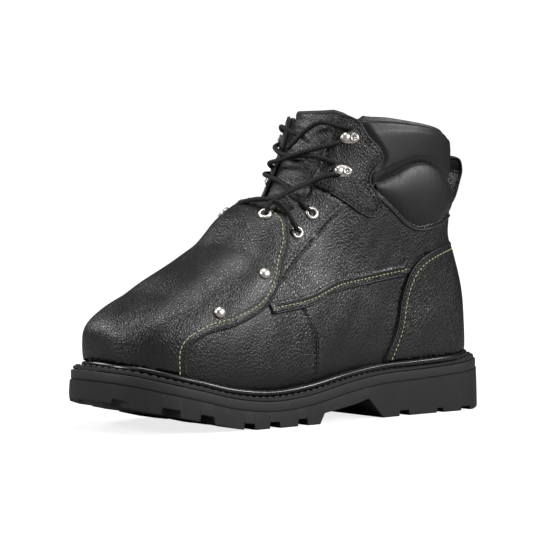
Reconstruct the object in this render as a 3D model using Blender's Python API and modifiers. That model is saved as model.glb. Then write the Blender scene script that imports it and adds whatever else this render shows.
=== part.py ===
"""Metatarsal guard boot for the left foot: a lace-up leather work boot on a lugged sole.

Every size below is in millimetres and becomes metres when a mesh is made. The boot's own coordinates are x,
positive towards the outer (lateral) side, s, measured along the sole from the toe towards the heel, and z,
the height over the floor. The object's origin lies under the middle of the boot, its toe points to -Y, and its
outer side faces +X.
"""

import math

import bmesh
import bpy
import numpy as np
from mathutils import Vector
from mathutils.bvhtree import BVHTree

MM = 0.001
GAP = 0.3

SOLE_LENGTH = 312.0
BALL_WIDTH = 107.0
INSTEP_HEIGHT = 128.0
SHAFT_HEIGHT = 200.0
WALL = 2.4
BAND_THICKNESS = 6.0
WELT_THICKNESS = 2.5
BEAD_RADIUS = 1.8
SOLE_FLARE = 1.2
INSOLE_THICKNESS = 3.5
BEAD_TOP = 2.0 * BEAD_RADIUS + 4.0 * GAP
FLOOR_POINTS = 36
BEAD_POINTS = 60
BEAD_SPARE = 1.2
INSOLE_SPARE = 1.2
INSOLE_POINTS = 20

# The last below the ankle, a section for each share of the length. Widths are shares of the ball width, from the
# boot's long axis, and heights are shares of the instep height. "widest" is the height where the section is
# widest, and "side" the power of its rounding.
FOOT_COLUMNS = ("s", "lateral", "medial", "widest", "top", "low", "side")
FOOT_ROWS = (
    (0, 35.5, 34, 45, 57, 16, 2.5),
    (10, 39.5, 37.5, 41, 61, 8, 2.5),
    (20, 43, 40.5, 35, 72, 2, 2.4),
    (30, 45, 41, 32, 82, -3, 2.3),
    (40, 43.5, 38, 31, 93, -2, 2.2),
    (50, 41, 34.5, 33, 101, 0, 2.2),
    (60, 37, 31.5, 34.5, 106, 2, 2.2),
    (70, 34.5, 31, 36, 108, 3, 2.3),
    (80, 33.5, 31, 37, 108, 3, 2.3),
    (90, 33.5, 31.5, 37, 105, 3, 2.3),
    (98, 33.5, 31.5, 37, 100, 3, 2.3),
)
TOE_TIP = 12.0
TOE_ROUND = 54.0
HEEL_TIP = 298.0
HEEL_ROUND = 42.0

# The last above the ankle, a section for each share of the shaft's height. Front and back are shares of the
# length, and "half" is the half-width as a share of the ball width.
SHAFT_COLUMNS = ("z", "front", "back", "half")
SHAFT_ROWS = (
    (20, 54.5, 93, 28),
    (35, 48, 92.6, 32),
    (50, 41, 91, 33.5),
    (60, 41, 90.7, 34.5),
    (70, 45.8, 91, 35.5),
    (80, 50.3, 91, 36.5),
    (90, 53.5, 91, 37.5),
    (100, 56, 90.4, 38.3),
    (110, 58.3, 89.4, 38.3),
)
SHAFT_AXIS = 238.0
SHAFT_SIDE = 2.4
SHAFT_FADE = (95.0, 50.0)
FORM_SCALE = 42.0
ANKLE_BLEND = 16.0
SIDE_BLEND = 5.0
ANKLE_BEND = (128.0, 118.0)
ANKLE_REACH = (38.0, 34.0)

# The rings of the upper turn about this point, in front of the ankle, from upright sections of the foot to level
# ones of the shaft.
PIVOT = (112.0, 137.0)
RING_CENTRE_Z = 58.0
RING_TOP_Z = 214.0
FOOT_RINGS = 8
TURN_RINGS = 11
SHAFT_RINGS = 4
RING_POINTS = 24

# The sole's outline, half-widths from the long axis, and its heights, by distance from the toe.
SOLE_WIDTHS = ("s", "lateral", "medial")
SOLE_WIDTH_ROWS = (
    (0, 46, 43.5),
    (55, 51.5, 49),
    (100, 53, 52),
    (150, 50, 42),
    (200, 43.5, 38),
    (265, 38.5, 39.5),
    (312, 37.5, 39.5),
)
SOLE_TOE_ROUND = (52.0, 2.3)
SOLE_HEEL_ROUND = (41.0, 2.2)
SOLE_TOP = ((0, 38.3), (12, 36), (26, 32.3), (52, 26), (80, 19.3), (110, 16.4), (136, 18.2), (172, 24.2),
            (204, 28), (240, 29.4), (270, 31), (312, 34.5))
TREAD = ((0, 21), (12, 16.3), (26, 12.8), (46, 8.6), (62, 5), (78, 1.4), (88, 0), (145, 0), (149, 6.8),
         (163, 8.6), (178, 10.7), (190, 13.4), (204, 0), (292, 0), (312, 3))
SOLE_STATIONS = 30

# Lug notches along the edge: start and end along the sole, and depth.
EDGE_NOTCHES = ((5, 11, 3.5), (27, 38, 4.5), (51, 61, 4.5), (83, 91, 4), (103, 111, 4), (126, 134, 4.5),
                (219, 228, 3.6), (254, 260, 3), (277, 287, 2.6))
NOTCH_REACH = 15.0
TREAD_RECESS = 4.0
CLEAT_ROWS = (64, 86, 108, 130)
CLEAT_SIZE = (26.0, 7.0)
HEEL_RECESS = (222, 292)

# Panel edges on the outer side, as seen square from the side: (s, z).
GUARD_EDGE = ((46.5, 33), (47, 52), (60, 60), (85, 66), (108, 77.5), (119, 92), (125, 103.5), (128, 108.5),
              (131, 115), (132.5, 121), (134, 127), (133.5, 134), (131.5, 139), (128, 141.5), (122, 142.5),
              (114, 143))
COUNTER_EDGE = ((210, 36), (221, 58), (226, 78), (230, 88), (235, 96), (242, 102), (259, 109), (274, 112))
QUARTER_SEAM = ((112, 70.5), (148, 76), (169, 83), (195, 87), (221, 91), (230, 92.5))
EYESTAY_EDGE = ((110, 81.5), (113, 83), (123, 90), (140, 105), (162, 122), (178, 136), (188, 142))
PATCH_EDGE = ((183, 197), (190, 193), (197, 182), (205, 174), (207, 168), (204, 164), (198, 157), (197.5, 152),
              (200, 149), (205, 141), (207, 136), (204, 131.5), (198, 130), (193, 131.5), (180, 139.5),
              (168, 147), (156, 153))
COLLAR_SEAM = ((199, 151), (207, 154.5), (218, 159), (232, 165), (242, 166), (254, 163), (267, 156),
               (276, 153), (290, 152))
PAD_EDGE = ((199, 151), (206, 143.5), (214, 137.5), (222, 131), (230, 125.5), (238, 123), (250, 126),
            (262, 130), (271, 132), (290, 133))
COLLAR_FRONT = ((151, 199.5), (157, 199.5), (164, 205.5), (168, 208.5), (174, 206.5), (182, 198.5),
                (193, 191.5))
TOP_LINE = ((165, 197), (183, 196), (190, 194), (217, 192.5), (248, 189), (265, 185), (276, 181), (292, 178))
COLLAR_COVER = 4.5

# The lace opening: height, reach back from the toe end, half-width.
THROAT_ROWS = ((106, 116, 9), (108, 122, 13), (112, 132, 17), (120, 148, 21), (130, 158, 23), (150, 174, 23.5),
               (170, 186, 24), (200, 200, 25), (232, 206, 26))

# The tongue: height and half-width.
TONGUE_ROWS = ((110, 22), (116, 27), (124, 31), (134, 32), (146, 33), (158, 33), (170, 33), (182, 33), (191, 33),
               (196.5, 29), (199.5, 20))

TONGUE_THICKNESS = 3.6
TONGUE_SPARE = 0.5
TONGUE_BACK = 189.0

# Lifts of each layer over the last, inner and outer.
QUARTER_LIFT = (GAP, 1.9)
EYESTAY_LIFT = (GAP, 2.4)
PATCH_LIFT = (GAP, 3.0)
COUNTER_LIFT = (GAP, 2.6)
STRIP_LIFT = (2.3, 3.8)
GUARD_THICKNESS = 3.0
GUARD_RISE = 5.5
CUSHION_LIFT = 0.7
PAD_PUFF = 4.6
COLLAR_PUFF = 3.9

EYELETS = ((142, 121), (156, 133))
HOOKS = ((177, 160), (183, 181.5))
RIVETS = ((71, 73), (108, 96))
GUARD_EYELET = (22, 124, 132)
GUARD_EYELET_MEDIAL = (-20, 124, 132)
EYELET_RADIUS = 4.6
EYELET_HOLE = 2.4
RIVET_RADIUS = 3.2
HOOK_REACH = 7.0
SEAT_REACH = 12.0
LACE_RADIUS = 1.7

# Lace routes over the shaft's front: (x, z, lift), or (x, s, z, None) where a strand leaves it.
LACE_UPPER = ((-26, 176.5, 5.2), (-19, 174, 5.2), (-11, 171, 2.2), (0, 169.8, 1.4), (10, 169.3, 2.2),
              (20, 168.5, 5.2), (26, 166.5, 5.2))
LACE_UPPER_BACK = ((-26, 162.5, 5.2), (-18, 163.8, 5.2), (-5, 166, 1.8), (8, 168.8, 1.8), (19.6, 173, 5.2),
                   (26, 175.5, 5.2))
LACE_LOWER = ((-26, 156.8, 5.2), (-18, 156, 5.2), (-9, 155, 2.2), (3, 152.5, 1.6), (12, 147.5, 2.2),
              (18, 143.8, 4.6), (23, 140.4, 6.2))
LACE_TO_GUARD = ((27, 156.5, 5.8), (25.4, 157, 153.0, None), (24.8, 148, 149.8, None),
                 (24.4, 139, 146.4, None), (25.2, 131, 143.2, None), (25.0, 127.0, 142.2, None))
LACE_OVER_GUARD = ((33.2, 138.5, 128.5, None), (31.8, 135.5, 132.5, None), (28.8, 132.5, 138.5, None),
                   (25, 128.5, 142.0, None), (20, 124.0, 143.4, None), (12, 122.0, 143.6, None),
                   (3, 121.5, 143.4, None), (-6, 122.5, 143.0, None))
LACE_END_LATERAL = ((27, 187.5, 5.2), (17, 190, 5.2), (9.3, 185, 3.8), (4, 178, 3.6), (0, 173.5, 5.2))
LACE_END_MEDIAL = ((-27, 187, 5.2), (-23, 188.5, 5.4), (-14, 187, 1.2), (-3, 184.8, -0.6), (2, 183.6, -0.8))

LEATHER = ("black_leather", (0.018, 0.018, 0.020), 0.45, 0.0)
SMOOTH_LEATHER = ("collar_leather", (0.028, 0.028, 0.031), 0.36, 0.0)
RUBBER = ("sole_rubber", (0.026, 0.026, 0.028), 0.62, 0.0)
BEAD = ("bead_rubber", (0.012, 0.012, 0.013), 0.22, 0.0)
LINING = ("lining_fabric", (0.05, 0.05, 0.052), 0.9, 0.0)
STEEL = ("bright_steel", (0.62, 0.60, 0.57), 0.25, 1.0)
CORD = ("lace_cord", (0.012, 0.012, 0.013), 0.75, 0.0)


def columns(names, rows):
    """A table's columns as arrays, by name."""
    return dict(zip(names, np.array(rows, float).T))


FOOT = columns(FOOT_COLUMNS, FOOT_ROWS)
SHAFT = columns(SHAFT_COLUMNS, SHAFT_ROWS)
SOLE = columns(SOLE_WIDTHS, SOLE_WIDTH_ROWS)


def smooth(x, xs, ys):
    """A cubic through the points (xs, ys), with slopes taken from the neighbours."""
    xs = np.asarray(xs, float)
    ys = np.asarray(ys, float)
    slope = np.gradient(ys, xs)
    x = np.clip(x, xs[0], xs[-1])
    i = np.clip(np.searchsorted(xs, x) - 1, 0, len(xs) - 2)
    h = xs[i + 1] - xs[i]
    t = (x - xs[i]) / h
    ends = (2 * t**3 - 3 * t**2 + 1) * ys[i] + (3 * t**2 - 2 * t**3) * ys[i + 1]
    return ends + (t**3 - 2 * t**2 + t) * h * slope[i] + (t**3 - t**2) * h * slope[i + 1]


def step_up(t):
    """Zero below 0, one above 1, and a soft step between."""
    t = np.clip(t, 0.0, 1.0)
    return t * t * (3.0 - 2.0 * t)


def foot_form(p):
    """Signed size of a point against the last below the ankle: negative inside."""
    x, s, z = p[..., 0], p[..., 1], p[..., 2]
    share = s * 100.0 / SOLE_LENGTH

    def at(name, unit):
        return smooth(share, FOOT["s"], FOOT[name]) * unit

    width = np.where(x > 0, at("lateral", BALL_WIDTH / 100), at("medial", BALL_WIDTH / 100))
    widest = at("widest", INSTEP_HEIGHT / 100)
    above = (z - widest) / (at("top", INSTEP_HEIGHT / 100) - widest)
    below = (widest - z) / (widest - at("low", INSTEP_HEIGHT / 100))
    power = at("side", 1.0)
    toe = np.maximum((TOE_TIP + TOE_ROUND - s) / TOE_ROUND, 0.0)
    heel = np.maximum((s - HEEL_TIP + HEEL_ROUND) / HEEL_ROUND, 0.0)
    total = np.abs(x / width) ** power + np.where(z > widest, above, below) ** power + (toe + heel) ** power
    return (total ** (1.0 / power) - 1.0) * FORM_SCALE


def shaft_form(p):
    """Signed size of a point against the last above the ankle: negative inside."""
    x, s, z = p[..., 0], p[..., 1], p[..., 2]
    share = z * 100.0 / SHAFT_HEIGHT

    def at(name, unit):
        return smooth(share, SHAFT["z"], SHAFT[name]) * unit

    front = SHAFT_AXIS - at("front", SOLE_LENGTH / 100)
    back = at("back", SOLE_LENGTH / 100) - SHAFT_AXIS
    along = np.abs(s - SHAFT_AXIS) / np.where(s < SHAFT_AXIS, front, back)
    under = np.maximum((SHAFT_FADE[0] - z) / SHAFT_FADE[1], 0.0)
    across = np.abs(x / at("half", BALL_WIDTH / 100))
    total = across**SHAFT_SIDE + along**SHAFT_SIDE + under**SHAFT_SIDE
    return (total ** (1.0 / SHAFT_SIDE) - 1.0) * FORM_SCALE


def form(p):
    """The whole last: both forms, softly joined at the bend of the ankle."""
    foot = foot_form(p)
    shaft = shaft_form(p)
    away = ((p[..., 1] - ANKLE_BEND[0]) / ANKLE_REACH[0]) ** 2 + ((p[..., 2] - ANKLE_BEND[1]) / ANKLE_REACH[1]) ** 2
    blend = SIDE_BLEND + ANKLE_BLEND * np.exp(-away)
    share = np.clip(0.5 + 0.5 * (shaft - foot) / blend, 0.0, 1.0)
    return shaft * (1.0 - share) + foot * share - blend * share * (1.0 - share)


def form_normals(p):
    """Unit outward normals of the last at points on it, from small differences."""
    reach = 0.3
    slope = np.zeros_like(p)
    for axis in range(3):
        offset = np.zeros(3)
        offset[axis] = reach
        slope[..., axis] = form(p + offset) - form(p - offset)
    return slope / np.linalg.norm(slope, axis=-1, keepdims=True)


def cast(start, direction, reach=240.0, stride=4.0):
    """Where rays from inside the last leave it: marched outwards, then halved down to the surface."""
    low = np.zeros(direction.shape[:-1])
    high = np.full(direction.shape[:-1], reach)
    found = np.zeros(direction.shape[:-1], bool)
    for distance in np.arange(stride, reach, stride):
        outside = (form(start + direction * distance) > 0.0) & ~found
        high = np.where(outside, distance, high)
        low = np.where(outside, distance - stride, low)
        found |= outside
    for _ in range(22):
        middle = 0.5 * (low + high)
        outside = form(start + direction * middle[..., None]) > 0.0
        high = np.where(outside, middle, high)
        low = np.where(outside, low, middle)
    return start + direction * low[..., None]


def ring_sections():
    """Centre and tilt of each ring: upright in the foot, fanned round the heel, level in the shaft."""
    sections = []
    for i in range(FOOT_RINGS):
        s = TOE_TIP + 0.8 + (PIVOT[0] - TOE_TIP - 0.8) * (i / FOOT_RINGS) ** 1.35
        sections.append(((0.0, s, RING_CENTRE_Z), 0.0))
    for i in range(TURN_RINGS + 1):
        turn = i / TURN_RINGS
        angle = 0.5 * math.pi * (1.0 - (1.0 - turn) ** 1.35)
        drop = (PIVOT[1] - RING_CENTRE_Z) * (1.0 - turn) + (SHAFT_AXIS - PIVOT[0]) * turn
        centre = (0.0, PIVOT[0] + drop * math.sin(angle), PIVOT[1] - drop * math.cos(angle))
        sections.append((centre, angle))
    for i in range(1, SHAFT_RINGS + 1):
        z = PIVOT[1] + (RING_TOP_Z - PIVOT[1]) * i / SHAFT_RINGS
        sections.append(((0.0, SHAFT_AXIS, z), 0.5 * math.pi))
    return sections


def last_rings():
    """The last as rings of points with their normals. Each ring starts at the top or front of its section."""
    around = np.linspace(0.0, 2.0 * math.pi, RING_POINTS, endpoint=False)
    rings = []
    for centre, angle in ring_sections():
        up = np.array([0.0, -math.sin(angle), math.cos(angle)])
        direction = np.sin(around)[:, None] * np.array([1.0, 0.0, 0.0]) + np.cos(around)[:, None] * up
        rings.append(cast(np.array(centre), direction))
    points = np.array(rings)
    return points, form_normals(points)


def to_world(p):
    """Boot coordinates in millimetres to the object's frame in metres."""
    p = np.asarray(p, float)
    return np.stack([p[..., 0], p[..., 1] - 0.5 * SOLE_LENGTH, p[..., 2]], axis=-1) * MM


class Workshop:
    """Collections and materials of the boot, and the shared ways of making its solids."""

    def __init__(self):
        for item in list(bpy.data.objects):
            bpy.data.objects.remove(item, do_unlink=True)
        self.parts = self.collection("metatarsal_guard_boot")
        self.cutters = self.collection("cutters")
        self.materials = {}
        self.points, self.normals = last_rings()

    def collection(self, name):
        found = bpy.data.collections.get(name) or bpy.data.collections.new(name)
        if found.name not in bpy.context.scene.collection.children:
            bpy.context.scene.collection.children.link(found)
        return found

    def material(self, finish):
        name, colour, roughness, metallic = finish
        if name not in self.materials:
            made = bpy.data.materials.new(name)
            made.use_nodes = True
            shader = made.node_tree.nodes["Principled BSDF"]
            shader.inputs["Base Color"].default_value = (*colour, 1.0)
            shader.inputs["Roughness"].default_value = roughness
            shader.inputs["Metallic"].default_value = metallic
            self.materials[name] = made
        return self.materials[name]

    def mesh_object(self, name, vertices, faces, cutter=False):
        """A closed mesh from points in boot coordinates and faces, turned outwards."""
        mesh = bpy.data.meshes.new(name)
        mesh.from_pydata([tuple(v) for v in to_world(vertices)], [], faces)
        shape = bmesh.new()
        shape.from_mesh(mesh)
        bmesh.ops.remove_doubles(shape, verts=shape.verts, dist=1e-6)
        bmesh.ops.recalc_face_normals(shape, faces=shape.faces)
        shape.to_mesh(mesh)
        shape.free()
        item = bpy.data.objects.new(name, mesh)
        (self.cutters if cutter else self.parts).objects.link(item)
        if cutter:
            item.hide_render = True
            item.display_type = "WIRE"
        return item

    def finish(self, item, finish, crease=40.0):
        """Gives a part its material and smooth shading up to a crease angle."""
        item.data.materials.clear()
        item.data.materials.append(self.material(finish))
        item.data.shade_smooth()
        item.data.set_sharp_from_angle(angle=math.radians(crease))
        return item

    def combine(self, item, tools, operation, solver="EXACT"):
        """Applies Booleans with each tool in turn, and takes the tools away."""
        for tool in tools:
            modifier = item.modifiers.new(operation.lower(), "BOOLEAN")
            modifier.operation = operation
            modifier.object = tool
            modifier.solver = solver
        graph = bpy.context.evaluated_depsgraph_get()
        mesh = bpy.data.meshes.new_from_object(item.evaluated_get(graph))
        item.modifiers.clear()
        old = item.data
        item.data = mesh
        bpy.data.meshes.remove(old)
        for tool in tools:
            bpy.data.objects.remove(tool, do_unlink=True)
        return item

    def skin(self, name, lift, cutter=True):
        """The whole last as a closed body at a lift over its surface, which may differ from point to point."""
        amount = lift(self.points)[..., None] if callable(lift) else lift
        return self.rings_object(name, self.points + self.normals * amount, cutter=cutter)

    def rings_object(self, name, rings, cutter=False):
        """A body through rings of points, in triangles; each end is closed by a fan about the ring's middle."""
        rows, count = rings.shape[:2]
        vertices = list(rings.reshape(-1, 3))
        faces = []
        for i in range(rows - 1):
            for j in range(count):
                k = (j + 1) % count
                faces.append((i * count + j, i * count + k, (i + 1) * count + k))
                faces.append((i * count + j, (i + 1) * count + k, (i + 1) * count + j))
        for row in (0, rows - 1):
            vertices.append(rings[row].mean(axis=0))
            hub = len(vertices) - 1
            for j in range(count):
                faces.append((row * count + j, row * count + (j + 1) % count, hub))
        return self.mesh_object(name, np.array(vertices), faces, cutter)

    def prism(self, name, outline, low=-100.0, high=100.0):
        """A side outline of (s, z) points carried straight across the boot from x = low to x = high."""
        outline = np.asarray(outline, float)
        count = len(outline)
        near = np.column_stack([np.full(count, low), outline])
        far = np.column_stack([np.full(count, high), outline])
        faces = [tuple(range(count)), tuple(range(count, 2 * count))]
        for i in range(count):
            k = (i + 1) % count
            faces.append((i, k, count + k, count + i))
        return self.mesh_object(name, np.vstack([near, far]), faces, cutter=True)

    def box(self, name, low, high, cutter=True):
        """An upright box between two corners."""
        rings = np.array([[(x, s, z) for x, s in ((low[0], low[1]), (high[0], low[1]), (high[0], high[1]),
                                                 (low[0], high[1]))] for z in (low[2], high[2])], float)
        faces = [(0, 1, 2, 3), (4, 5, 6, 7), (0, 1, 5, 4), (1, 2, 6, 5), (2, 3, 7, 6), (3, 0, 4, 7)]
        return self.mesh_object(name, rings.reshape(-1, 3), faces, cutter)

    def tube(self, name, route, radius, resolution=2, closed=False, samples=None):
        """A round cord through a smooth curve along the route, as a bevelled curve made a mesh."""
        path = curve_through(route, samples) if samples else np.asarray(route, float)
        data = bpy.data.curves.new(name, "CURVE")
        data.dimensions = "3D"
        data.bevel_depth = radius * MM
        data.bevel_resolution = resolution
        data.use_fill_caps = not closed
        spline = data.splines.new("POLY")
        spline.points.add(len(path) - 1)
        for point, place in zip(spline.points, to_world(path)):
            point.co = (*place, 1.0)
        spline.use_cyclic_u = closed
        item = bpy.data.objects.new(name, data)
        self.parts.objects.link(item)
        graph = bpy.context.evaluated_depsgraph_get()
        mesh = bpy.data.meshes.new_from_object(item.evaluated_get(graph))
        bpy.data.objects.remove(item, do_unlink=True)
        shape = bmesh.new()
        shape.from_mesh(mesh)
        bmesh.ops.remove_doubles(shape, verts=shape.verts, dist=1e-6)
        bmesh.ops.recalc_face_normals(shape, faces=shape.faces)
        shape.to_mesh(mesh)
        shape.free()
        made = bpy.data.objects.new(name, mesh)
        self.parts.objects.link(made)
        return made


def curve_through(route, samples):
    """A smooth curve through a few route points, read off at even steps of its chord length."""
    route = np.asarray(route, float)
    chord = np.concatenate([[0.0], np.cumsum(np.linalg.norm(np.diff(route, axis=0), axis=1))])
    at = np.linspace(0.0, chord[-1], samples)
    return np.column_stack([smooth(at, chord, route[:, axis]) for axis in range(3)])


def smooth_edge(edge, per_span=1):
    """A panel edge with its corners rounded by a curve through its points."""
    edge = np.asarray(edge, float)
    chord = np.concatenate([[0.0], np.cumsum(np.linalg.norm(np.diff(edge, axis=0), axis=1))])
    at = np.linspace(0.0, chord[-1], per_span * (len(edge) - 1) + 1)
    return [tuple(p) for p in np.column_stack([smooth(at, chord, edge[:, axis]) for axis in range(2)])]


def grown(outline, distance):
    """A closed side outline moved outwards by a distance."""
    outline = np.asarray(outline, float)
    before = np.roll(outline, 1, axis=0)
    after = np.roll(outline, -1, axis=0)
    along = after - before
    area = np.sum(outline[:, 0] * after[:, 1] - after[:, 0] * outline[:, 1])
    side = np.column_stack([along[:, 1], -along[:, 0]]) * (1.0 if area > 0 else -1.0)
    return outline + side / np.linalg.norm(side, axis=1, keepdims=True) * distance


def sole_top(s):
    return smooth(s, *np.array(SOLE_TOP, float).T)


def feather(s):
    """Height of the upper's lower edge, on the welt."""
    return sole_top(s) + WELT_THICKNESS + 2.0 * GAP


def tread_height(s):
    return np.interp(s, *np.array(TREAD, float).T)


def sole_half(s, side, inset):
    """Half-width of the sole's outline at s, on one side, moved in by an inset."""
    half = smooth(s, SOLE["s"], SOLE[side]) - inset
    toe = np.clip((SOLE_TOE_ROUND[0] - s) / (SOLE_TOE_ROUND[0] - SOLE_FLARE - inset), 0.0, 1.0)
    heel_start = SOLE_LENGTH - SOLE_HEEL_ROUND[0]
    heel = np.clip((s - heel_start) / (SOLE_HEEL_ROUND[0] - SOLE_FLARE - inset), 0.0, 1.0)
    toe_share = (1.0 - toe ** SOLE_TOE_ROUND[1]) ** (1.0 / SOLE_TOE_ROUND[1])
    heel_share = (1.0 - heel ** SOLE_HEEL_ROUND[1]) ** (1.0 / SOLE_HEEL_ROUND[1])
    return half * toe_share * heel_share


def sole_stations(inset, extra=()):
    """Places along the sole, closer together at its round ends."""
    turn = np.linspace(0.06, math.pi - 0.06, SOLE_STATIONS)
    low = SOLE_FLARE + inset
    high = SOLE_LENGTH - SOLE_FLARE - inset
    even = low + (high - low) * 0.5 * (1.0 - np.cos(turn))
    near = [e for e in extra if low + 2.0 < e < high - 2.0]
    kept = [s for s in even if all(abs(s - e) > 1.2 for e in near)]
    return np.sort(np.concatenate([kept, near]))


def sole_slab(shop, name, low, high, insets, extra=()):
    """A layer of the sole: cross-sections with level floors and tops, from toe to heel."""
    stations = sole_stations(max(insets), extra)
    rings = []
    for s in stations:
        corners = []
        for height, inset in ((low, insets[0]), (high, insets[1])):
            corners.append((sole_half(s, "lateral", inset), s, float(height(s))))
            corners.append((-sole_half(s, "medial", inset), s, float(height(s))))
        rings.append([corners[0], corners[2], corners[3], corners[1]])
    rings = np.array(rings)
    if insets[0] != insets[1]:
        reach = insets[1] - insets[0]
        rings[0, (0, 3), 1] -= reach
        rings[-1, (0, 3), 1] += reach
    return shop.rings_object(name, rings)


def notch_cutters(shop):
    """Boxes that open the lug notches along both edges of the tread."""
    boxes = []
    for start, end, depth in EDGE_NOTCHES:
        middle = 0.5 * (start + end)
        top = float(tread_height(middle)) + depth
        for side, sign in (("lateral", 1.0), ("medial", -1.0)):
            edge = float(sole_half(middle, side, 0.0))
            inner = sign * max(edge - NOTCH_REACH, 6.0)
            outer = sign * (edge + 12.0)
            low = (min(inner, outer), start, top - 14.0)
            high = (max(inner, outer), end, top)
            boxes.append(shop.box("notch", low, high))
    return boxes


def tread_recess(shop, start, end, inset):
    """The sunk middle of a tread field, between the edge lugs."""
    stations = np.linspace(start, end, 9)
    rings = []
    for s in stations:
        top = float(tread_height(s)) + TREAD_RECESS
        lateral = sole_half(s, "lateral", inset)
        medial = -sole_half(s, "medial", inset)
        rings.append([(lateral, s, top - 9.0), (lateral, s, top), (medial, s, top), (medial, s, top - 9.0)])
    return shop.rings_object("recess", np.array(rings), cutter=True)


def make_outsole(shop):
    """The tread: lugged edge, sunk middle with cross-shaped cleats, shank, and heel with a slanted breast."""
    corners = [row[0] for row in TREAD] + [SOLE_LENGTH - 60]
    sole = sole_slab(shop, "outsole", tread_height, lambda s: sole_top(s) - BAND_THICKNESS - GAP,
                     (-SOLE_FLARE, 0.0), corners)
    cleats = []
    for s in CLEAT_ROWS:
        high = float(tread_height(s)) + TREAD_RECESS + 1.0
        across = (CLEAT_SIZE[0] / 2, CLEAT_SIZE[1] / 2)
        for wide, deep in (across, across[::-1]):
            cleats.append(shop.box("cleat", (-wide, s - deep, -30), (wide, s + deep, high)))
    field = shop.combine(tread_recess(shop, 54.0, 140.0, 19.0), cleats, "DIFFERENCE")
    heel = tread_recess(shop, HEEL_RECESS[0], HEEL_RECESS[1], 17.0)
    sole = shop.combine(sole, [field, heel] + notch_cutters(shop), "DIFFERENCE")
    return shop.finish(sole, RUBBER)


def make_midsole(shop):
    """The upper band of the sole, lighter in the side and flush with the tread's top."""
    band = sole_slab(shop, "midsole", lambda s: sole_top(s) - BAND_THICKNESS, sole_top, (0.0, 0.0))
    return shop.finish(band, RUBBER)


def make_welt(shop):
    """The welt on top of the sole, set in a little from its edge."""
    welt = sole_slab(shop, "welt", lambda s: sole_top(s) + GAP, lambda s: sole_top(s) + GAP + WELT_THICKNESS,
                     (0.9, 0.9))
    return shop.finish(welt, LEATHER)


def feather_loop(count, lift, height):
    """Points round the boot, at a height over the feather and a lift over the last."""
    turn = np.linspace(0.0, 2.0 * math.pi, count, endpoint=False)
    s = 0.5 * (TOE_TIP + HEEL_TIP) - 0.5 * (HEEL_TIP - TOE_TIP) * np.cos(turn)
    side = np.where(turn < math.pi, 1.0, -1.0)
    ends = np.minimum(1.0, 3.0 * np.abs(np.sin(turn)))
    edge_x = ends * np.where(side > 0, sole_half(s, "lateral", 6.0), -sole_half(s, "medial", 6.0))
    z = feather(s) + height
    axis_s = np.clip(s, 70.0, 255.0)
    start = np.column_stack([np.zeros(count), axis_s, z])
    aim = np.column_stack([edge_x, s - axis_s, np.zeros(count)])
    aim /= np.linalg.norm(aim, axis=1, keepdims=True)
    places = cast(start, aim)
    outward = form_normals(places)
    outward[:, 2] = 0.0
    outward /= np.linalg.norm(outward, axis=1, keepdims=True)
    return places + outward * lift


def make_bead(shop):
    """The round bead that runs on the welt against the upper."""
    fine = feather_loop(10 * BEAD_POINTS, BEAD_RADIUS + BEAD_SPARE, 2.0 * BEAD_RADIUS)
    fine = np.vstack([fine, fine[:1]])
    chord = np.concatenate([[0.0], np.cumsum(np.linalg.norm(np.diff(fine, axis=0), axis=1))])
    at = np.linspace(0.0, chord[-1], BEAD_POINTS, endpoint=False)
    path = np.column_stack([np.interp(at, chord, fine[:, axis]) for axis in range(3)])
    path[:, 2] -= BEAD_RADIUS - GAP
    return shop.finish(shop.tube("welt_bead", path, BEAD_RADIUS, resolution=1, closed=True), BEAD)


def make_insole(shop):
    """The insole: a layer of the last's inside, on the welt."""
    s = np.linspace(0.0, SOLE_LENGTH, INSOLE_POINTS)
    low = [(a, float(feather(a))) for a in s]
    high = [(a, z + INSOLE_THICKNESS) for a, z in low[::-1]]
    inside = shop.skin("insole", -(WALL + INSOLE_SPARE), cutter=False)
    return shop.finish(shop.combine(inside, [shop.prism("layer", low + high)], "INTERSECT", "MANIFOLD"), LINING)


def under_feather(shop, name, rise):
    """Everything below the upper's lower edge, raised by a little."""
    s = np.linspace(-30.0, SOLE_LENGTH + 30.0, FLOOR_POINTS)
    top = [(a, float(feather(a)) + rise) for a in s]
    return shop.prism(name, [(-30.0, -60.0)] + top + [(SOLE_LENGTH + 30.0, -60.0)])


def over_top(shop, name, drop):
    """Everything above the collar's top line, lowered by a little behind the lace opening."""
    line = [(s, z - drop * float(step_up((s - 183.0) / 8.0))) for s, z in smooth_edge(TOP_LINE)]
    return shop.prism(name, [(90.0, 260.0), (90.0, 197.0)] + line + [(330.0, line[-1][1]), (330.0, 260.0)])


def throat(shop, name, spare=0.0):
    """The lace opening: a wedge in front of the ankle, wider towards the top."""
    rings = []
    for z, back, half in THROAT_ROWS:
        half += spare
        rings.append([(-half, 40.0, z), (half, 40.0, z), (half, back, z), (-half, back, z)])
    return shop.rings_object(name, np.array(rings, float), cutter=True)


def make_upper(shop):
    """The upper: one hollow wall over the last, open at collar, lace opening and underneath."""
    upper = shop.skin("upper", 0.0, cutter=False)
    hollow = shop.skin("hollow", -WALL)
    shop.combine(upper, [hollow], "DIFFERENCE")
    cuts = [under_feather(shop, "floor", 0.0), over_top(shop, "top", COLLAR_COVER), throat(shop, "throat")]
    return shop.finish(shop.combine(upper, cuts, "DIFFERENCE"), LEATHER)


def shell(shop, name, lift):
    """A closed shell between two lifts over the last. Its two faces run so close that only MANIFOLD parts them."""
    outer = shop.skin(name, lift[1], cutter=False)
    return shop.combine(outer, [shop.skin("inside", lift[0])], "DIFFERENCE", "MANIFOLD")


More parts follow.
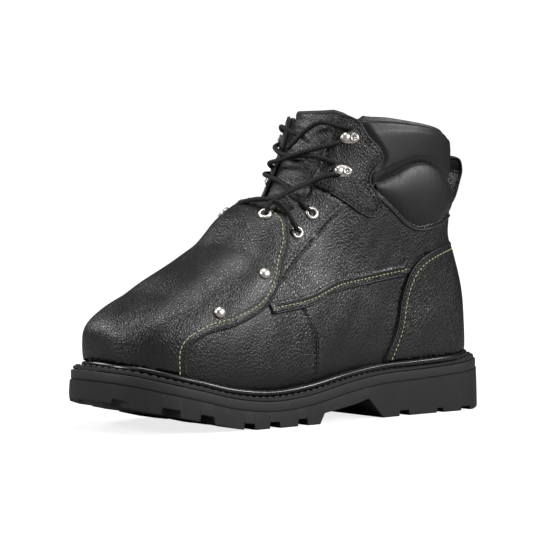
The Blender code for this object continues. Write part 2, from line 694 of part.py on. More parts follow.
def panel(shop, name, lift, outline, sides, cuts, finish):
    """A panel cut from a shell by its side outline, on one or both sides, less what its neighbours take."""
    part = shell(shop, name, lift)
    part = shop.combine(part, [shop.prism("outline", outline, *sides)], "INTERSECT", "MANIFOLD")
    if cuts:
        part = shop.combine(part, cuts, "DIFFERENCE", "MANIFOLD")
    return shop.finish(part, finish)


def guard_lift(points):
    """The guard rests on the vamp at its lower edge and toe, and stands off over the instep."""
    over_instep = step_up((points[..., 1] - 58.0) / 50.0) * step_up((points[..., 2] - 60.0) / 42.0)
    return GAP + GUARD_RISE * over_instep


def make_guard(shop):
    """The thick leather guard over toe and instep, with its free rounded upper edge."""
    outline = [(-30.0, -40.0), (46.5, -40.0)] + smooth_edge(GUARD_EDGE) + [(100.0, 150.0), (-30.0, 150.0)]
    lift = (guard_lift, lambda p: guard_lift(p) + GUARD_THICKNESS)
    cuts = [under_feather(shop, "floor", BEAD_TOP)]
    return panel(shop, "metatarsal_guard", lift, outline, (-100.0, 100.0), cuts, LEATHER)


def patch_outline():
    return smooth_edge(PATCH_EDGE) + [(120.0, 153.0), (120.0, 215.0), (183.0, 215.0)]


def eyestay_outline():
    return smooth_edge(EYESTAY_EDGE) + [(188.0, 160.0), (108.0, 160.0), (108.0, 95.0)]


def cushion_outline():
    """The side outline of collar and ankle pad together."""
    front = [(s, z) for z, s in COLLAR_FRONT]
    return smooth_edge(PAD_EDGE) + [(330.0, 133.0), (330.0, 230.0), (191.5, 230.0)] + front[::-1][:-1]


def counter_outline():
    return [(210.0, -20.0)] + smooth_edge(COUNTER_EDGE) + [(330.0, 113.0), (330.0, -20.0)]


def make_side_panels(shop):
    """Quarter, eyestay and hook patch on each side."""
    for side, sides in (("lateral", (0.4, 100.0)), ("medial", (-100.0, -0.4))):
        cuts = [throat(shop, "throat")]
        panel(shop, "eyestay_" + side, EYESTAY_LIFT, eyestay_outline(), sides,
              cuts + [shop.prism("patch", grown(patch_outline(), 0.4))], LEATHER)
        panel(shop, "hook_patch_" + side, PATCH_LIFT, patch_outline(), sides,
              [throat(shop, "throat"), over_top(shop, "top", 0.0)], LEATHER)
        above_counter = [row for row in smooth_edge(COUNTER_EDGE) if row[1] > 92.5]
        outline = smooth_edge(QUARTER_SEAM) + above_counter + [(330.0, 113.5), (330.0, 148.0), (178.0, 148.0)]
        cuts = [throat(shop, "throat"), shop.prism("patch", grown(patch_outline(), 0.4)),
                shop.prism("eyestay", grown(eyestay_outline(), 0.4)),
                shop.prism("cushions", grown(cushion_outline(), 0.5)),
                shop.prism("counter", grown(counter_outline(), 0.4))]
        panel(shop, "quarter_" + side, QUARTER_LIFT, outline, sides, cuts, LEATHER)


def make_counter(shop):
    """The heel counter, wrapped round the back of the heel."""
    cuts = [under_feather(shop, "floor", BEAD_TOP)]
    return panel(shop, "heel_counter", COUNTER_LIFT, counter_outline(), (-100.0, 100.0), cuts, LEATHER)


def make_back_strip(shop):
    """The narrow strip over the back seam, between counter and pad."""
    outline = [(250.0, 114.0), (330.0, 114.0), (330.0, 132.0), (250.0, 132.0)]
    return panel(shop, "back_strip", STRIP_LIFT, outline, (-7.0, 7.0), [], LEATHER)


def shaft_places(angle, z, lift):
    """Points on the shaft at an angle from its back, a height, and a lift over the last."""
    angle, z, lift = np.broadcast_arrays(angle, z, lift)
    aim = np.stack([np.sin(angle), np.cos(angle), np.zeros_like(angle)], axis=-1)
    start = np.stack([np.zeros_like(angle), np.full_like(angle, SHAFT_AXIS), z], axis=-1)
    places = cast(start, aim)
    return places + form_normals(places) * lift[..., None]


def shaft_angle(s, half=38.0):
    """The angle from the back at which the shaft's side stands at s."""
    return math.atan2(half, s - SHAFT_AXIS)


def line_height(edge, angle, half=38.0):
    """Height of a side line, as (s, z) points, at an angle round the shaft."""
    edge = np.asarray(edge, float)
    angles = np.array([shaft_angle(s, half * min(1.0, max(0.02, (292.0 - s) / 22.0))) for s in edge[:, 0]])
    order = np.argsort(angles)
    return np.interp(np.abs(angle), angles[order], edge[order, 1])


def trimmed_cushion(shop, name, rings, cuts=()):
    """A cushion through rings of points, cut off where it meets the hook patches."""
    cushion = shop.rings_object(name, rings)
    cuts = [shop.prism("patch", grown(patch_outline(), 0.4)), *cuts]
    return shop.finish(shop.combine(cushion, cuts, "DIFFERENCE", "MANIFOLD"), SMOOTH_LEATHER)


def make_collar(shop):
    """The padded collar: a roll that straddles the upper's top edge, round the back from patch to patch."""
    share = np.linspace(-1.0, 1.0, 21)
    profile = ((0.02, 0.0), (0.03, CUSHION_LIFT), (0.14, 2.3), (0.38, COLLAR_PUFF), (0.65, COLLAR_PUFF),
               (0.86, 3.2), (0.97, 0.9), (1.0, -1.4), (0.97, -3.8), (0.85, -6.2), (0.5, -6.6), (0.22, -5.6),
               (0.1, -WALL - CUSHION_LIFT))
    height, lift = (np.tile(row, (len(share), 1)) for row in np.array(profile).T)
    front_z, front_s = np.array(COLLAR_FRONT).T
    z = np.full_like(height, 170.0)
    for _ in range(4):
        front = np.interp(z, front_z, front_s)
        angle = share[:, None] * (np.arctan2(38.0, front - SHAFT_AXIS) - 0.012)
        low = line_height(COLLAR_SEAM, angle) + GAP
        high = line_height(TOP_LINE, angle)
        z = low + (high - low) * height
    wall = shell(shop, "wall", (-WALL - GAP, GAP))
    slot = shop.combine(wall, [over_top(shop, "top", COLLAR_COVER - GAP)], "DIFFERENCE", "MANIFOLD")
    return trimmed_cushion(shop, "collar", shaft_places(angle, z, lift), [slot])


def make_ankle_pad(shop):
    """The ankle pad under the collar: a puffed cushion, pointed at both ends, round the back of the shaft."""
    share = np.linspace(-1.0, 1.0, 23)
    end = shaft_angle(201.0)
    profile = ((0.0, 0.25), (0.12, 0.62), (0.32, 0.9), (0.55, 0.95), (0.8, 0.8), (0.95, 0.45), (1.0, 0.2),
               (1.0, 0.0), (0.5, 0.0), (0.0, 0.0))
    height, rise = np.array(profile).T
    angle = share[:, None] * end
    high = line_height(COLLAR_SEAM, angle) - GAP
    tall = np.maximum(high - line_height(PAD_EDGE, angle) - GAP, 1.6)
    puff = PAD_PUFF * np.minimum(1.0, tall / 30.0) ** 0.6
    lift = CUSHION_LIFT + puff * rise
    return trimmed_cushion(shop, "ankle_pad", shaft_places(angle, high - tall * (1.0 - height), lift))


def make_tongue(shop):
    """The tongue: a soft sheet behind the lace opening, its top edge rounded."""
    outline = [(sign * half, z) for sign, rows in ((1.0, TONGUE_ROWS), (-1.0, TONGUE_ROWS[::-1])) for z, half in rows]
    front = np.array([(x, 60.0, z) for x, z in outline])
    back = front + np.array([0.0, TONGUE_BACK - 60.0, 0.0])
    window = shop.rings_object("window", np.array([front, back]), cutter=True)
    sheet = shell(shop, "tongue", (-WALL - TONGUE_SPARE - TONGUE_THICKNESS, -WALL - TONGUE_SPARE))
    return shop.finish(shop.combine(sheet, [window], "INTERSECT", "MANIFOLD"), LEATHER)


def side_place(s, z, side, lift):
    """A point and its normal on the lifted surface, where the side view shows (s, z)."""
    start = np.array([0.0, s, z])
    direction = np.array([float(side), 0.0, 0.0])
    place = cast(start, direction)
    normal = form_normals(place)
    return place + normal * lift, normal


def seat(carrier, place, normal, radius):
    """Moves a place along its normal until a disc of the radius lies a gap over the carrying piece."""
    tree = BVHTree.FromObject(carrier, bpy.context.evaluated_depsgraph_get())
    across = np.cross(normal, (0.0, 0.0, 1.0))
    across /= np.linalg.norm(across)
    up = np.cross(across, normal)
    high = []
    for share in np.linspace(0.0, 1.0, 7):
        for turn in np.linspace(0.0, 2.0 * math.pi, 24, endpoint=False):
            start = place + normal * SEAT_REACH + (across * math.cos(turn) + up * math.sin(turn)) * radius * share
            hit = tree.ray_cast(Vector(to_world(start)), Vector(-normal), 2.0 * SEAT_REACH * MM)
            if hit[0] is not None:
                high.append(SEAT_REACH - hit[3] / MM)
    return place + normal * (max(high) + GAP)


def turned(shop, name, profile, steps, finish, place, normal):
    """A finished round piece on its own."""
    return shop.finish(turned_body(shop, name, profile, steps, place, normal), finish, 50.0)


def turned_body(shop, name, profile, steps, place, normal):
    """A round body turned from (radius, height) points, set on a place along a normal."""
    mesh = bpy.data.meshes.new(name)
    mesh.from_pydata([(r * MM, 0.0, h * MM) for r, h in profile], [(i, i + 1) for i in range(len(profile) - 1)], [])
    item = bpy.data.objects.new(name, mesh)
    shop.parts.objects.link(item)
    screw = item.modifiers.new("turn", "SCREW")
    screw.steps = steps
    screw.render_steps = steps
    screw.use_merge_vertices = True
    screw.merge_threshold = 0.00001
    graph = bpy.context.evaluated_depsgraph_get()
    made = bpy.data.meshes.new_from_object(item.evaluated_get(graph))
    bpy.data.objects.remove(item, do_unlink=True)
    shape = bmesh.new()
    shape.from_mesh(made)
    bmesh.ops.remove_doubles(shape, verts=shape.verts, dist=1e-6)
    bmesh.ops.recalc_face_normals(shape, faces=shape.faces)
    turn = Vector((0.0, 0.0, 1.0)).rotation_difference(Vector(normal)).to_matrix().to_4x4()
    bmesh.ops.transform(shape, matrix=turn, verts=shape.verts)
    bmesh.ops.translate(shape, vec=Vector(to_world(place)), verts=shape.verts)
    shape.to_mesh(made)
    shape.free()
    item = bpy.data.objects.new(name, made)
    shop.parts.objects.link(item)
    return item


EYELET_PROFILE = ((EYELET_HOLE, 0.0), (EYELET_RADIUS, 0.0), (EYELET_RADIUS - 0.5, 1.0), (EYELET_HOLE, 1.0),
                  (EYELET_HOLE, 0.0))
HOOK_PLATE = ((-3.7, 3.0), (-2.3, 5.2), (0.0, 6.0), (2.3, 5.2), (3.7, 3.0))
HOOK_PLATE_THICKNESS, HOOK_MIDDLE, HOOK_ROLLER = 1.1, 1.3, -1.7
ROLLER_PROFILE = ((0.0, 0.5), (1.7, 0.5), (1.7, 2.3), (3.0, 2.7), (3.0, 3.4), (2.0, 4.4), (0.0, 4.7))
RIVET_PROFILE = ((0.0, 0.0), (RIVET_RADIUS, 0.0), (2.9, 1.1), (1.6, 2.0), (0.0, 2.3))


def make_hardware(shop):
    """Eyelets, guard eyelets, rivets and lace hooks, on both sides."""
    guard = bpy.data.objects["metatarsal_guard"]
    for side, sign in (("lateral", 1), ("medial", -1)):
        eyestay = bpy.data.objects["eyestay_" + side]
        for number, (s, z) in enumerate(EYELETS, 1):
            place, normal = side_place(s, z, sign, EYESTAY_LIFT[1])
            place = seat(eyestay, place, normal, EYELET_RADIUS)
            turned(shop, f"eyelet_{side}_{number}", EYELET_PROFILE, 10, STEEL, place, normal)
        place, normal = guard_place(GUARD_EYELET if sign > 0 else GUARD_EYELET_MEDIAL)
        place = seat(guard, place, normal, EYELET_RADIUS)
        turned(shop, f"guard_eyelet_{side}", EYELET_PROFILE, 10, STEEL, place, normal)
        for number, (s, z) in enumerate(RIVETS, 1):
            base, normal = side_place(s, z, sign, 0.0)
            place = seat(guard, base + normal * (float(guard_lift(base)) + GUARD_THICKNESS), normal, RIVET_RADIUS)
            turned(shop, f"guard_rivet_{side}_{number}", RIVET_PROFILE, 8, STEEL, place, normal)
        for number, (s, z) in enumerate(HOOKS, 1):
            make_hook(shop, f"lace_hook_{side}_{number}", s, z, sign)


def guard_place(target):
    """A point on the guard's face and its normal, in line with a target from inside the instep."""
    start = np.array([0.0, 148.0, 104.0])
    aim = np.array(target, float) - start
    base = cast(start, aim / np.linalg.norm(aim))
    normal = form_normals(base)
    return base + normal * (float(guard_lift(base)) + GUARD_THICKNESS), normal


def make_hook(shop, name, s, z, sign):
    """A lace hook: a plate with rounded ends, and at its front a roller that the lace runs behind."""
    place, normal = side_place(s, z, sign, PATCH_LIFT[1])
    patch = bpy.data.objects["hook_patch_lateral" if sign > 0 else "hook_patch_medial"]
    place = seat(patch, place, normal, HOOK_REACH)
    up = np.array([0.0, 0.0, 1.0]) - normal * normal[2]
    up /= np.linalg.norm(up)
    along = np.cross(up, normal)
    along *= 1.0 if along[1] > 0 else -1.0
    rings = []
    for across, reach in HOOK_PLATE:
        rings.append([place + along * (HOOK_MIDDLE + a * reach) + normal * h + up * across
                      for a, h in ((1, 0.0), (1, HOOK_PLATE_THICKNESS), (-1, HOOK_PLATE_THICKNESS), (-1, 0.0))])
    plate = shop.rings_object(name, np.array(rings))
    roller = turned_body(shop, name, ROLLER_PROFILE, 8, place + along * HOOK_ROLLER, normal)
    return shop.finish(shop.combine(plate, [roller], "UNION"), STEEL)


def front_place(x, z, lift):
    """A point over the front of the shaft, straight ahead of the leg at x and height z."""
    place = cast(np.array([float(x), SHAFT_AXIS, float(z)]), np.array([0.0, -1.0, 0.0]))
    return place + form_normals(place) * lift


def lace_route(rows):
    """Route points from rows of (x, z, lift) over the shaft's front, or of (x, s, z, None) in the open."""
    return np.array([front_place(*row) if len(row) == 3 else np.array(row[:3], float) for row in rows])


def joined_strands(shop, name, routes, samples):
    """Lace strands that cross, as one solid."""
    first, *others = [shop.tube(name, lace_route(route), LACE_RADIUS, samples=count)
                      for route, count in zip(routes, samples)]
    return shop.finish(shop.combine(first, others, "UNION"), CORD)


def make_laces(shop):
    """The lace: crossings over the tongue, strands to and over the guard, and the two tucked ends."""
    joined_strands(shop, "lace_cross_upper", (LACE_UPPER, LACE_UPPER_BACK), (11, 11))
    joined_strands(shop, "lace_at_guard", (LACE_TO_GUARD, LACE_OVER_GUARD), (11, 12))
    for name, route, count in (("lace_cross_lower", LACE_LOWER, 12), ("lace_end_lateral", LACE_END_LATERAL, 10),
                               ("lace_end_medial", LACE_END_MEDIAL, 9)):
        shop.finish(shop.tube(name, lace_route(route), LACE_RADIUS, samples=count), CORD)


def make_pull_loop(shop):
    """The pull loop: a strap that stands off the back of the collar."""
    path = np.array([(288.2, 169.5), (297.0, 170.3), (303.6, 168.4), (305.4, 163.0), (303.0, 153.0),
                     (296.6, 139.5), (288.4, 133.5)])
    along = np.gradient(path, axis=0)
    side = np.column_stack([along[:, 1], -along[:, 0]])
    side /= np.linalg.norm(side, axis=1, keepdims=True)
    return shop.finish(strap_body(shop, "pull_loop", path, side, 8.0, 0.8), LEATHER)


def strap_body(shop, name, path, side, half_width, half_thickness):
    """A flat strap: a rectangle carried along a path in the side plane."""
    rings = []
    for p, n in zip(path, side):
        outer = p + n * half_thickness
        inner = p - n * half_thickness
        rings.append([(-half_width, *outer), (half_width, *outer), (half_width, *inner), (-half_width, *inner)])
    return shop.rings_object(name, np.array(rings))


def main():
    shop = Workshop()
    make_outsole(shop)
    make_midsole(shop)
    make_welt(shop)
    make_bead(shop)
    make_insole(shop)
    make_upper(shop)
    make_guard(shop)
    make_side_panels(shop)
    make_counter(shop)
    make_back_strip(shop)
    make_collar(shop)
    make_ankle_pad(shop)
    make_tongue(shop)
    make_hardware(shop)
    make_laces(shop)
    make_pull_loop(shop)


main()
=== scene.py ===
"""Looks of the metatarsal guard boot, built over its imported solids.

Lengths in this file are millimetres in the boot's own coordinates: x towards the outer side, s along the sole
from the toe, z up from the floor. A mesh is made in metres, in the frame's axes.
"""

import logging
import math
from dataclasses import dataclass, field
from enum import Enum
from typing import Callable, Optional, Sequence

import bpy
import numpy as np
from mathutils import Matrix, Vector


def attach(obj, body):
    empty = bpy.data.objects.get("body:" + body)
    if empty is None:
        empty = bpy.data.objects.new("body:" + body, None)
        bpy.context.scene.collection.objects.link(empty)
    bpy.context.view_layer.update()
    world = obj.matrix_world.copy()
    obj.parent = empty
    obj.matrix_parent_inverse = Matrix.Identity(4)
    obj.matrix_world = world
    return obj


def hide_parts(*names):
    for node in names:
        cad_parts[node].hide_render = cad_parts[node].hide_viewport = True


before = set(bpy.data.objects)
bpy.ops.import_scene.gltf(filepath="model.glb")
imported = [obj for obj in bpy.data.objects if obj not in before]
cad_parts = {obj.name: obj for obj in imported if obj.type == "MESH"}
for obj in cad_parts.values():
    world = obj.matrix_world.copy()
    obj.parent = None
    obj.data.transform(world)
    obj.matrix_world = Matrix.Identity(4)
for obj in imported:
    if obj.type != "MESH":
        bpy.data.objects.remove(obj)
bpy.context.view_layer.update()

LOG = logging.getLogger("boot")
MM = 0.001
SOLE_LENGTH = 312.0
BALL_WIDTH = 107.0
INSTEP_HEIGHT = 128.0
SHAFT_HEIGHT = 200.0
WALL = 2.4
BAND_THICKNESS = 6.0
WELT_THICKNESS = 2.5
BEAD_RADIUS = 1.9
FEATHER_RISE = 3.1
BEAD_COVER = 2.0 * BEAD_RADIUS + 0.6
SEWN_RISE, GUARD_SEWN_RISE, ROLL_RISE = 4.5, 4.6, 4.2
THREAD_LIFT = 0.05
COLLAR_COVER = 4.5
SHAFT_HALF = 38.0
PICTURE = 540.0

Array = np.ndarray
Distance = Callable[[Array], Array]
Lift = Callable[[Array], Array]


class Side(Enum):
    """Outer and inner side of the boot, as the sign of x."""

    LATERAL = 1.0
    MEDIAL = -1.0

    @property
    def word(self) -> str:
        """The side's name as the nodes spell it."""
        return self.name.lower()


def table(*rows: Sequence[float]) -> Array:
    """A short table as an array with a row per column."""
    return np.array(rows, float).T


FOOT = dict(zip(("s", "lateral", "medial", "widest", "top", "low", "side"), table(
    (0, 35.5, 34, 45, 57, 16, 2.5), (10, 39.5, 37.5, 41, 61, 8, 2.5), (20, 43, 40.5, 35, 72, 2, 2.4),
    (30, 45, 41, 32, 82, -3, 2.3), (40, 43.5, 38, 31, 93, -2, 2.2), (50, 41, 34.5, 33, 101, 0, 2.2),
    (60, 37, 31.5, 34.5, 106, 2, 2.2), (70, 34.5, 31, 36, 108, 3, 2.3), (80, 33.5, 31, 37, 108, 3, 2.3),
    (90, 33.5, 31.5, 37, 105, 3, 2.3), (98, 33.5, 31.5, 37, 100, 3, 2.3))))
SHAFT = dict(zip(("z", "front", "back", "half"), table(
    (20, 54.5, 93, 28), (35, 48, 92.6, 32), (50, 41, 91, 33.5), (60, 41, 90.7, 34.5), (70, 45.8, 91, 35.5),
    (80, 50.3, 91, 36.5), (90, 53.5, 91, 37.5), (100, 56, 90.4, 38.3), (110, 58.3, 89.4, 38.3))))
TOE_TIP, TOE_ROUND, HEEL_TIP, HEEL_ROUND = 12.0, 54.0, 298.0, 42.0
SHAFT_AXIS, SHAFT_SIDE = 238.0, 2.4
PIVOT = (112.0, 137.0)

SOLE = dict(zip(("s", "lateral", "medial"), table(
    (0, 46, 43.5), (55, 51.5, 49), (100, 53, 52), (150, 50, 42), (200, 43.5, 38), (265, 38.5, 39.5),
    (312, 37.5, 39.5))))
SOLE_TOP = table((0, 38.3), (12, 36), (26, 32.3), (52, 26), (80, 19.3), (110, 16.4), (136, 18.2), (172, 24.2),
                 (204, 28), (240, 29.4), (270, 31), (312, 34.5))
TREAD = table((0, 21), (12, 16.3), (26, 12.8), (46, 8.6), (62, 5), (78, 1.4), (88, 0), (145, 0), (149, 6.8),
              (163, 8.6), (178, 10.7), (190, 13.4), (204, 0), (292, 0), (312, 3))
EDGE_NOTCHES = ((5, 11, 3.5), (27, 38, 4.5), (51, 61, 4.5), (83, 91, 4), (103, 111, 4), (126, 134, 4.5),
                (219, 228, 3.6), (254, 260, 3), (277, 287, 2.6))

GUARD_EDGE = ((46.5, 33), (47, 52), (60, 60), (85, 66), (108, 77.5), (119, 92), (125, 103.5), (128, 108.5),
              (131, 115), (132.5, 121), (134, 127), (133.5, 134), (131.5, 138.5), (127.5, 140.6),
              (122, 139.2), (116, 136.2), (110, 132.5))
COUNTER_EDGE = ((210, 36), (221, 58), (226, 78), (230, 88), (235, 96), (242, 102), (259, 109), (274, 112),
                (300, 113))
QUARTER_SEAM = ((112, 70.5), (148, 76), (169, 83), (195, 87), (221, 91), (230, 92.5))
EYESTAY_EDGE = ((110, 81.5), (123, 90), (140, 105), (162, 122), (178, 136), (188, 142))
SIDE_SEAM = ((138, 75), (142, 67), (147, 57), (148, 43), (147, 27))
PATCH_EDGE = ((183, 197), (190, 193), (197, 182), (205, 174), (207, 168), (204, 164), (198, 157),
              (197.5, 152), (200, 149), (205, 141), (207, 136), (204, 131.5), (198, 130), (193, 131.5),
              (180, 139.5), (168, 147), (156, 153))
COLLAR_SEAM = ((199, 151), (207, 154.5), (218, 159), (232, 165), (242, 166), (254, 163), (267, 156),
               (276, 153), (290, 152))
PAD_EDGE = ((199, 151), (206, 143.5), (214, 137.5), (222, 131), (230, 125.5), (238, 123), (250, 124),
            (262, 127), (271, 131), (290, 133))
COLLAR_FRONT = table((151, 198.0), (157, 198.5), (164, 203.5), (168, 206.0), (174, 203.0), (182, 194.5),
                     (188, 188.0), (193, 183.0))
TOP_LINE = ((165, 197), (183, 196), (190, 194), (217, 192.5), (248, 189), (265, 185), (276, 181), (292, 178))
THROAT = table((106, 116, 9), (108, 122, 13), (112, 132, 17), (120, 148, 21), (130, 158, 23),
               (150, 174, 23.5), (170, 186, 24), (200, 200, 25), (232, 206, 26))
TONGUE = table((110, 22), (116, 27), (124, 31), (134, 32), (146, 33), (158, 33), (170, 33), (182, 33),
               (191, 32), (196.5, 28), (199.3, 19))

EYELETS = ((142, 121), (156, 133))
HOOKS = ((177, 160), (183, 181.5))
RIVETS = ((71, 73), (108, 96))
GUARD_EYELETS = {Side.LATERAL: (22, 124, 132), Side.MEDIAL: (-20, 124, 132)}


def smooth(x: Array, xs: Array, ys: Array) -> Array:
    """A cubic through a few points, with slopes taken from the neighbours.

    Between two points, with t from 0 to 1 over their distance h, the value is the two heights times
    2t^3 - 3t^2 + 1 and 3t^2 - 2t^3, plus h times the two slopes times t^3 - 2t^2 + t and t^3 - t^2.

    Args:
        x: Where the cubic is read; beyond the ends it keeps the end's value.
        xs: Places of the points.
        ys: Their heights.

    Returns:
        The heights at x.
    """
    xs, ys = np.asarray(xs, float), np.asarray(ys, float)
    slope = np.gradient(ys, xs)
    x = np.clip(x, xs[0], xs[-1])
    i = np.clip(np.searchsorted(xs, x) - 1, 0, len(xs) - 2)
    h = xs[i + 1] - xs[i]
    t = (x - xs[i]) / h
    ends = (2 * t**3 - 3 * t**2 + 1) * ys[i] + (3 * t**2 - 2 * t**3) * ys[i + 1]
    return ends + (t**3 - 2 * t**2 + t) * h * slope[i] + (t**3 - t**2) * h * slope[i + 1]


def step_up(t: Array) -> Array:
    """Zero below 0, one above 1, and 3t^2 - 2t^3 between."""
    t = np.clip(t, 0.0, 1.0)
    return t * t * (3.0 - 2.0 * t)


def bump_at(t: Array, width: float) -> Array:
    """A soft bell of height one at t = 0: exp(-(t / width)^2)."""
    return np.exp(-((t / width) ** 2))


def unit(v: Array) -> Array:
    """Vectors made one long."""
    return v / np.maximum(np.linalg.norm(v, axis=-1, keepdims=True), 1e-9)


def run_along(path: Array) -> Array:
    """Distance from a path's start to each of its points."""
    return np.concatenate([[0.0], np.cumsum(np.linalg.norm(np.diff(path, axis=0), axis=1))])


def places_along(length: float, step: float) -> Array:
    """Even places from 0 to a length, about a step apart and three at the least."""
    return np.linspace(0.0, length, max(3, int(round(length / step)) + 1))


def curve(points: Sequence[Sequence[float]], step: float) -> Array:
    """A smooth curve through a few points.

    Args:
        points: A row of coordinates per point.
        step: Distance along the chord between the rows that are read off.

    Returns:
        The curve, as rows of coordinates.
    """
    points = np.asarray(points, float)
    chord = run_along(points)
    at = places_along(chord[-1], step)
    return np.column_stack([smooth(at, chord, row) for row in points.T])


def even(path: Array, step: float) -> Array:
    """A path read again at even steps along its real length.

    Args:
        path: Its points.
        step: About the distance between the points that are read off.

    Returns:
        The new points.
    """
    run = run_along(path)
    at = places_along(run[-1], step)
    return np.column_stack([np.interp(at, run, row) for row in path.T])


def wobble(p: Array, size: float, seed: float = 0.0) -> Array:
    """Smooth uneven waves from -1 to 1: 0.6 and 0.4 times two products of slanted sines.

    Args:
        p: Points.
        size: Length over which the phase turns by about two.
        seed: Shift of the waves.

    Returns:
        A height per point.
    """
    x, s, z = p[..., 0] / size, p[..., 1] / size, p[..., 2] / size
    a = np.sin(1.7 * x + 2.3 * s + seed) * np.sin(2.1 * z - 1.3 * s + 2.0 * seed)
    b = np.sin(2.9 * s - 1.1 * z + 1.3 * seed) * np.cos(1.9 * x + 1.4 * z)
    return 0.6 * a + 0.4 * b


def to_world(p: Array) -> Array:
    """Boot coordinates in millimetres to the frame in metres."""
    p = np.asarray(p, float)
    return np.stack([p[..., 0], p[..., 1] - 0.5 * SOLE_LENGTH, p[..., 2]], axis=-1) * MM


class Last:
    """The form that the leather is drawn over: foot and shaft, softly joined at the ankle.

    SCALE turns a signed share of the form's size into about millimetres. PROBE is the step of its gradient.
    """

    SCALE = 42.0
    PROBE = 0.3

    def foot(self, p: Array) -> Array:
        """Signed size against the foot: (|x / width|^n + |z / height|^n + end^n)^(1/n) - 1, times SCALE.

        Width, height and power n change along the foot; end grows from 0 to 1 over the rounded toe and heel.

        Args:
            p: Points.

        Returns:
            A size per point, negative inside.
        """
        x, s, z = p[..., 0], p[..., 1], p[..., 2]
        share = s * 100.0 / SOLE_LENGTH

        def at(name: str, size: float) -> Array:
            """One column of the foot's table, in millimetres."""
            return smooth(share, FOOT["s"], FOOT[name]) * size

        width = np.where(x > 0, at("lateral", BALL_WIDTH / 100), at("medial", BALL_WIDTH / 100))
        widest = at("widest", INSTEP_HEIGHT / 100)
        above = (z - widest) / (at("top", INSTEP_HEIGHT / 100) - widest)
        below = (widest - z) / (widest - at("low", INSTEP_HEIGHT / 100))
        power = at("side", 1.0)
        end = (np.maximum((TOE_TIP + TOE_ROUND - s) / TOE_ROUND, 0.0)
               + np.maximum((s - HEEL_TIP + HEEL_ROUND) / HEEL_ROUND, 0.0))
        total = np.abs(x / width) ** power + np.where(z > widest, above, below) ** power + end**power
        return (total ** (1.0 / power) - 1.0) * self.SCALE

    def shaft(self, p: Array) -> Array:
        """Signed size against the shaft: (|x / width|^n + |s / depth|^n + under^n)^(1/n) - 1, times SCALE.

        Args:
            p: Points.

        Returns:
            A size per point, negative inside.
        """
        x, s, z = p[..., 0], p[..., 1], p[..., 2]
        share = z * 100.0 / SHAFT_HEIGHT
        front = SHAFT_AXIS - smooth(share, SHAFT["z"], SHAFT["front"]) * SOLE_LENGTH / 100
        back = smooth(share, SHAFT["z"], SHAFT["back"]) * SOLE_LENGTH / 100 - SHAFT_AXIS
        along = np.abs(s - SHAFT_AXIS) / np.where(s < SHAFT_AXIS, front, back)
        across = np.abs(x / (smooth(share, SHAFT["z"], SHAFT["half"]) * BALL_WIDTH / 100))
        under = np.maximum((95.0 - z) / 50.0, 0.0)
        total = across**SHAFT_SIDE + along**SHAFT_SIDE + under**SHAFT_SIDE
        return (total ** (1.0 / SHAFT_SIDE) - 1.0) * self.SCALE

    def form(self, p: Array) -> Array:
        """Both forms, blended where they meet; negative inside.

        The blend is widest at the instep, and lowers their mix by blend * share * (1 - share).

        Args:
            p: Points.

        Returns:
            A size per point, about its distance in millimetres.
        """
        foot, shaft = self.foot(p), self.shaft(p)
        away = ((p[..., 1] - 128.0) / 38.0) ** 2 + ((p[..., 2] - 118.0) / 34.0) ** 2
        blend = 5.0 + 16.0 * np.exp(-away)
        share = np.clip(0.5 + 0.5 * (shaft - foot) / blend, 0.0, 1.0)
        return shaft * (1.0 - share) + foot * share - blend * share * (1.0 - share)

    def slope(self, p: Array) -> Array:
        """The form's gradient, from differences over PROBE to both sides.

        Args:
            p: Points.

        Returns:
            A gradient per point.
        """
        out = np.zeros_like(p)
        for axis in range(3):
            offset = np.zeros(3)
            offset[axis] = self.PROBE
            out[..., axis] = (self.form(p + offset) - self.form(p - offset)) / (2.0 * self.PROBE)
        return out

    def normals(self, p: Array) -> Array:
        """Unit outward normals at points on the last."""
        return unit(self.slope(p))

    def cast(self, start: Array, aim: Array, reach: float = 236.0, stride: float = 6.0) -> Array:
        """Where rays from inside leave the last: marched outwards, then halved down to the surface.

        Args:
            start: Starts of the rays.
            aim: Their unit directions.
            reach: Length of the longest march.
            stride: One step of the march.

        Returns:
            A point per ray.
        """
        low = np.zeros(aim.shape[:-1])
        high = np.full(aim.shape[:-1], reach)
        found = np.zeros(aim.shape[:-1], bool)
        for distance in np.arange(stride, reach, stride):
            outside = (self.form(start + aim * distance) > 0.0) & ~found
            high = np.where(outside, distance, high)
            low = np.where(outside, distance - stride, low)
            found |= outside
            if found.all():
                break
        for _ in range(14):
            middle = 0.5 * (low + high)
            outside = self.form(start + aim * middle[..., None]) > 0.0
            high, low = np.where(outside, middle, high), np.where(outside, low, middle)
        return start + aim * low[..., None]

    def settle(self, p: Array, rounds: int = 2) -> Array:
        """Points near the last moved onto it, by -f g / |g|^2 with f the form and g its gradient.

        Args:
            p: The points.
            rounds: How many times they are moved.

        Returns:
            The moved points.
        """
        for _ in range(rounds):
            slope = self.slope(p)
            p = p - slope * (self.form(p) / np.maximum((slope**2).sum(-1), 1e-9))[..., None]
        return p

    def lifted(self, start: Array, aim: Array, lift: Lift) -> tuple[Array, Array]:
        """Points of a lifted surface along rays.

        The last is hit; then its point is moved by what the lifted point lies off the ray, and settled again.

        Args:
            start: Starts of the rays.
            aim: Their unit directions.
            lift: Height of the surface over the last.

        Returns:
            The lifted points and their normals.
        """
        base = self.cast(start, aim)
        for _ in range(4):
            normal = self.normals(base)
            point = base + normal * lift(base)[..., None]
            off = point - start
            off = off - aim * (off * aim).sum(-1, keepdims=True)
            base = self.settle(base - off, 1)
        normal = self.normals(base)
        return base + normal * lift(base)[..., None], normal


LAST = Last()


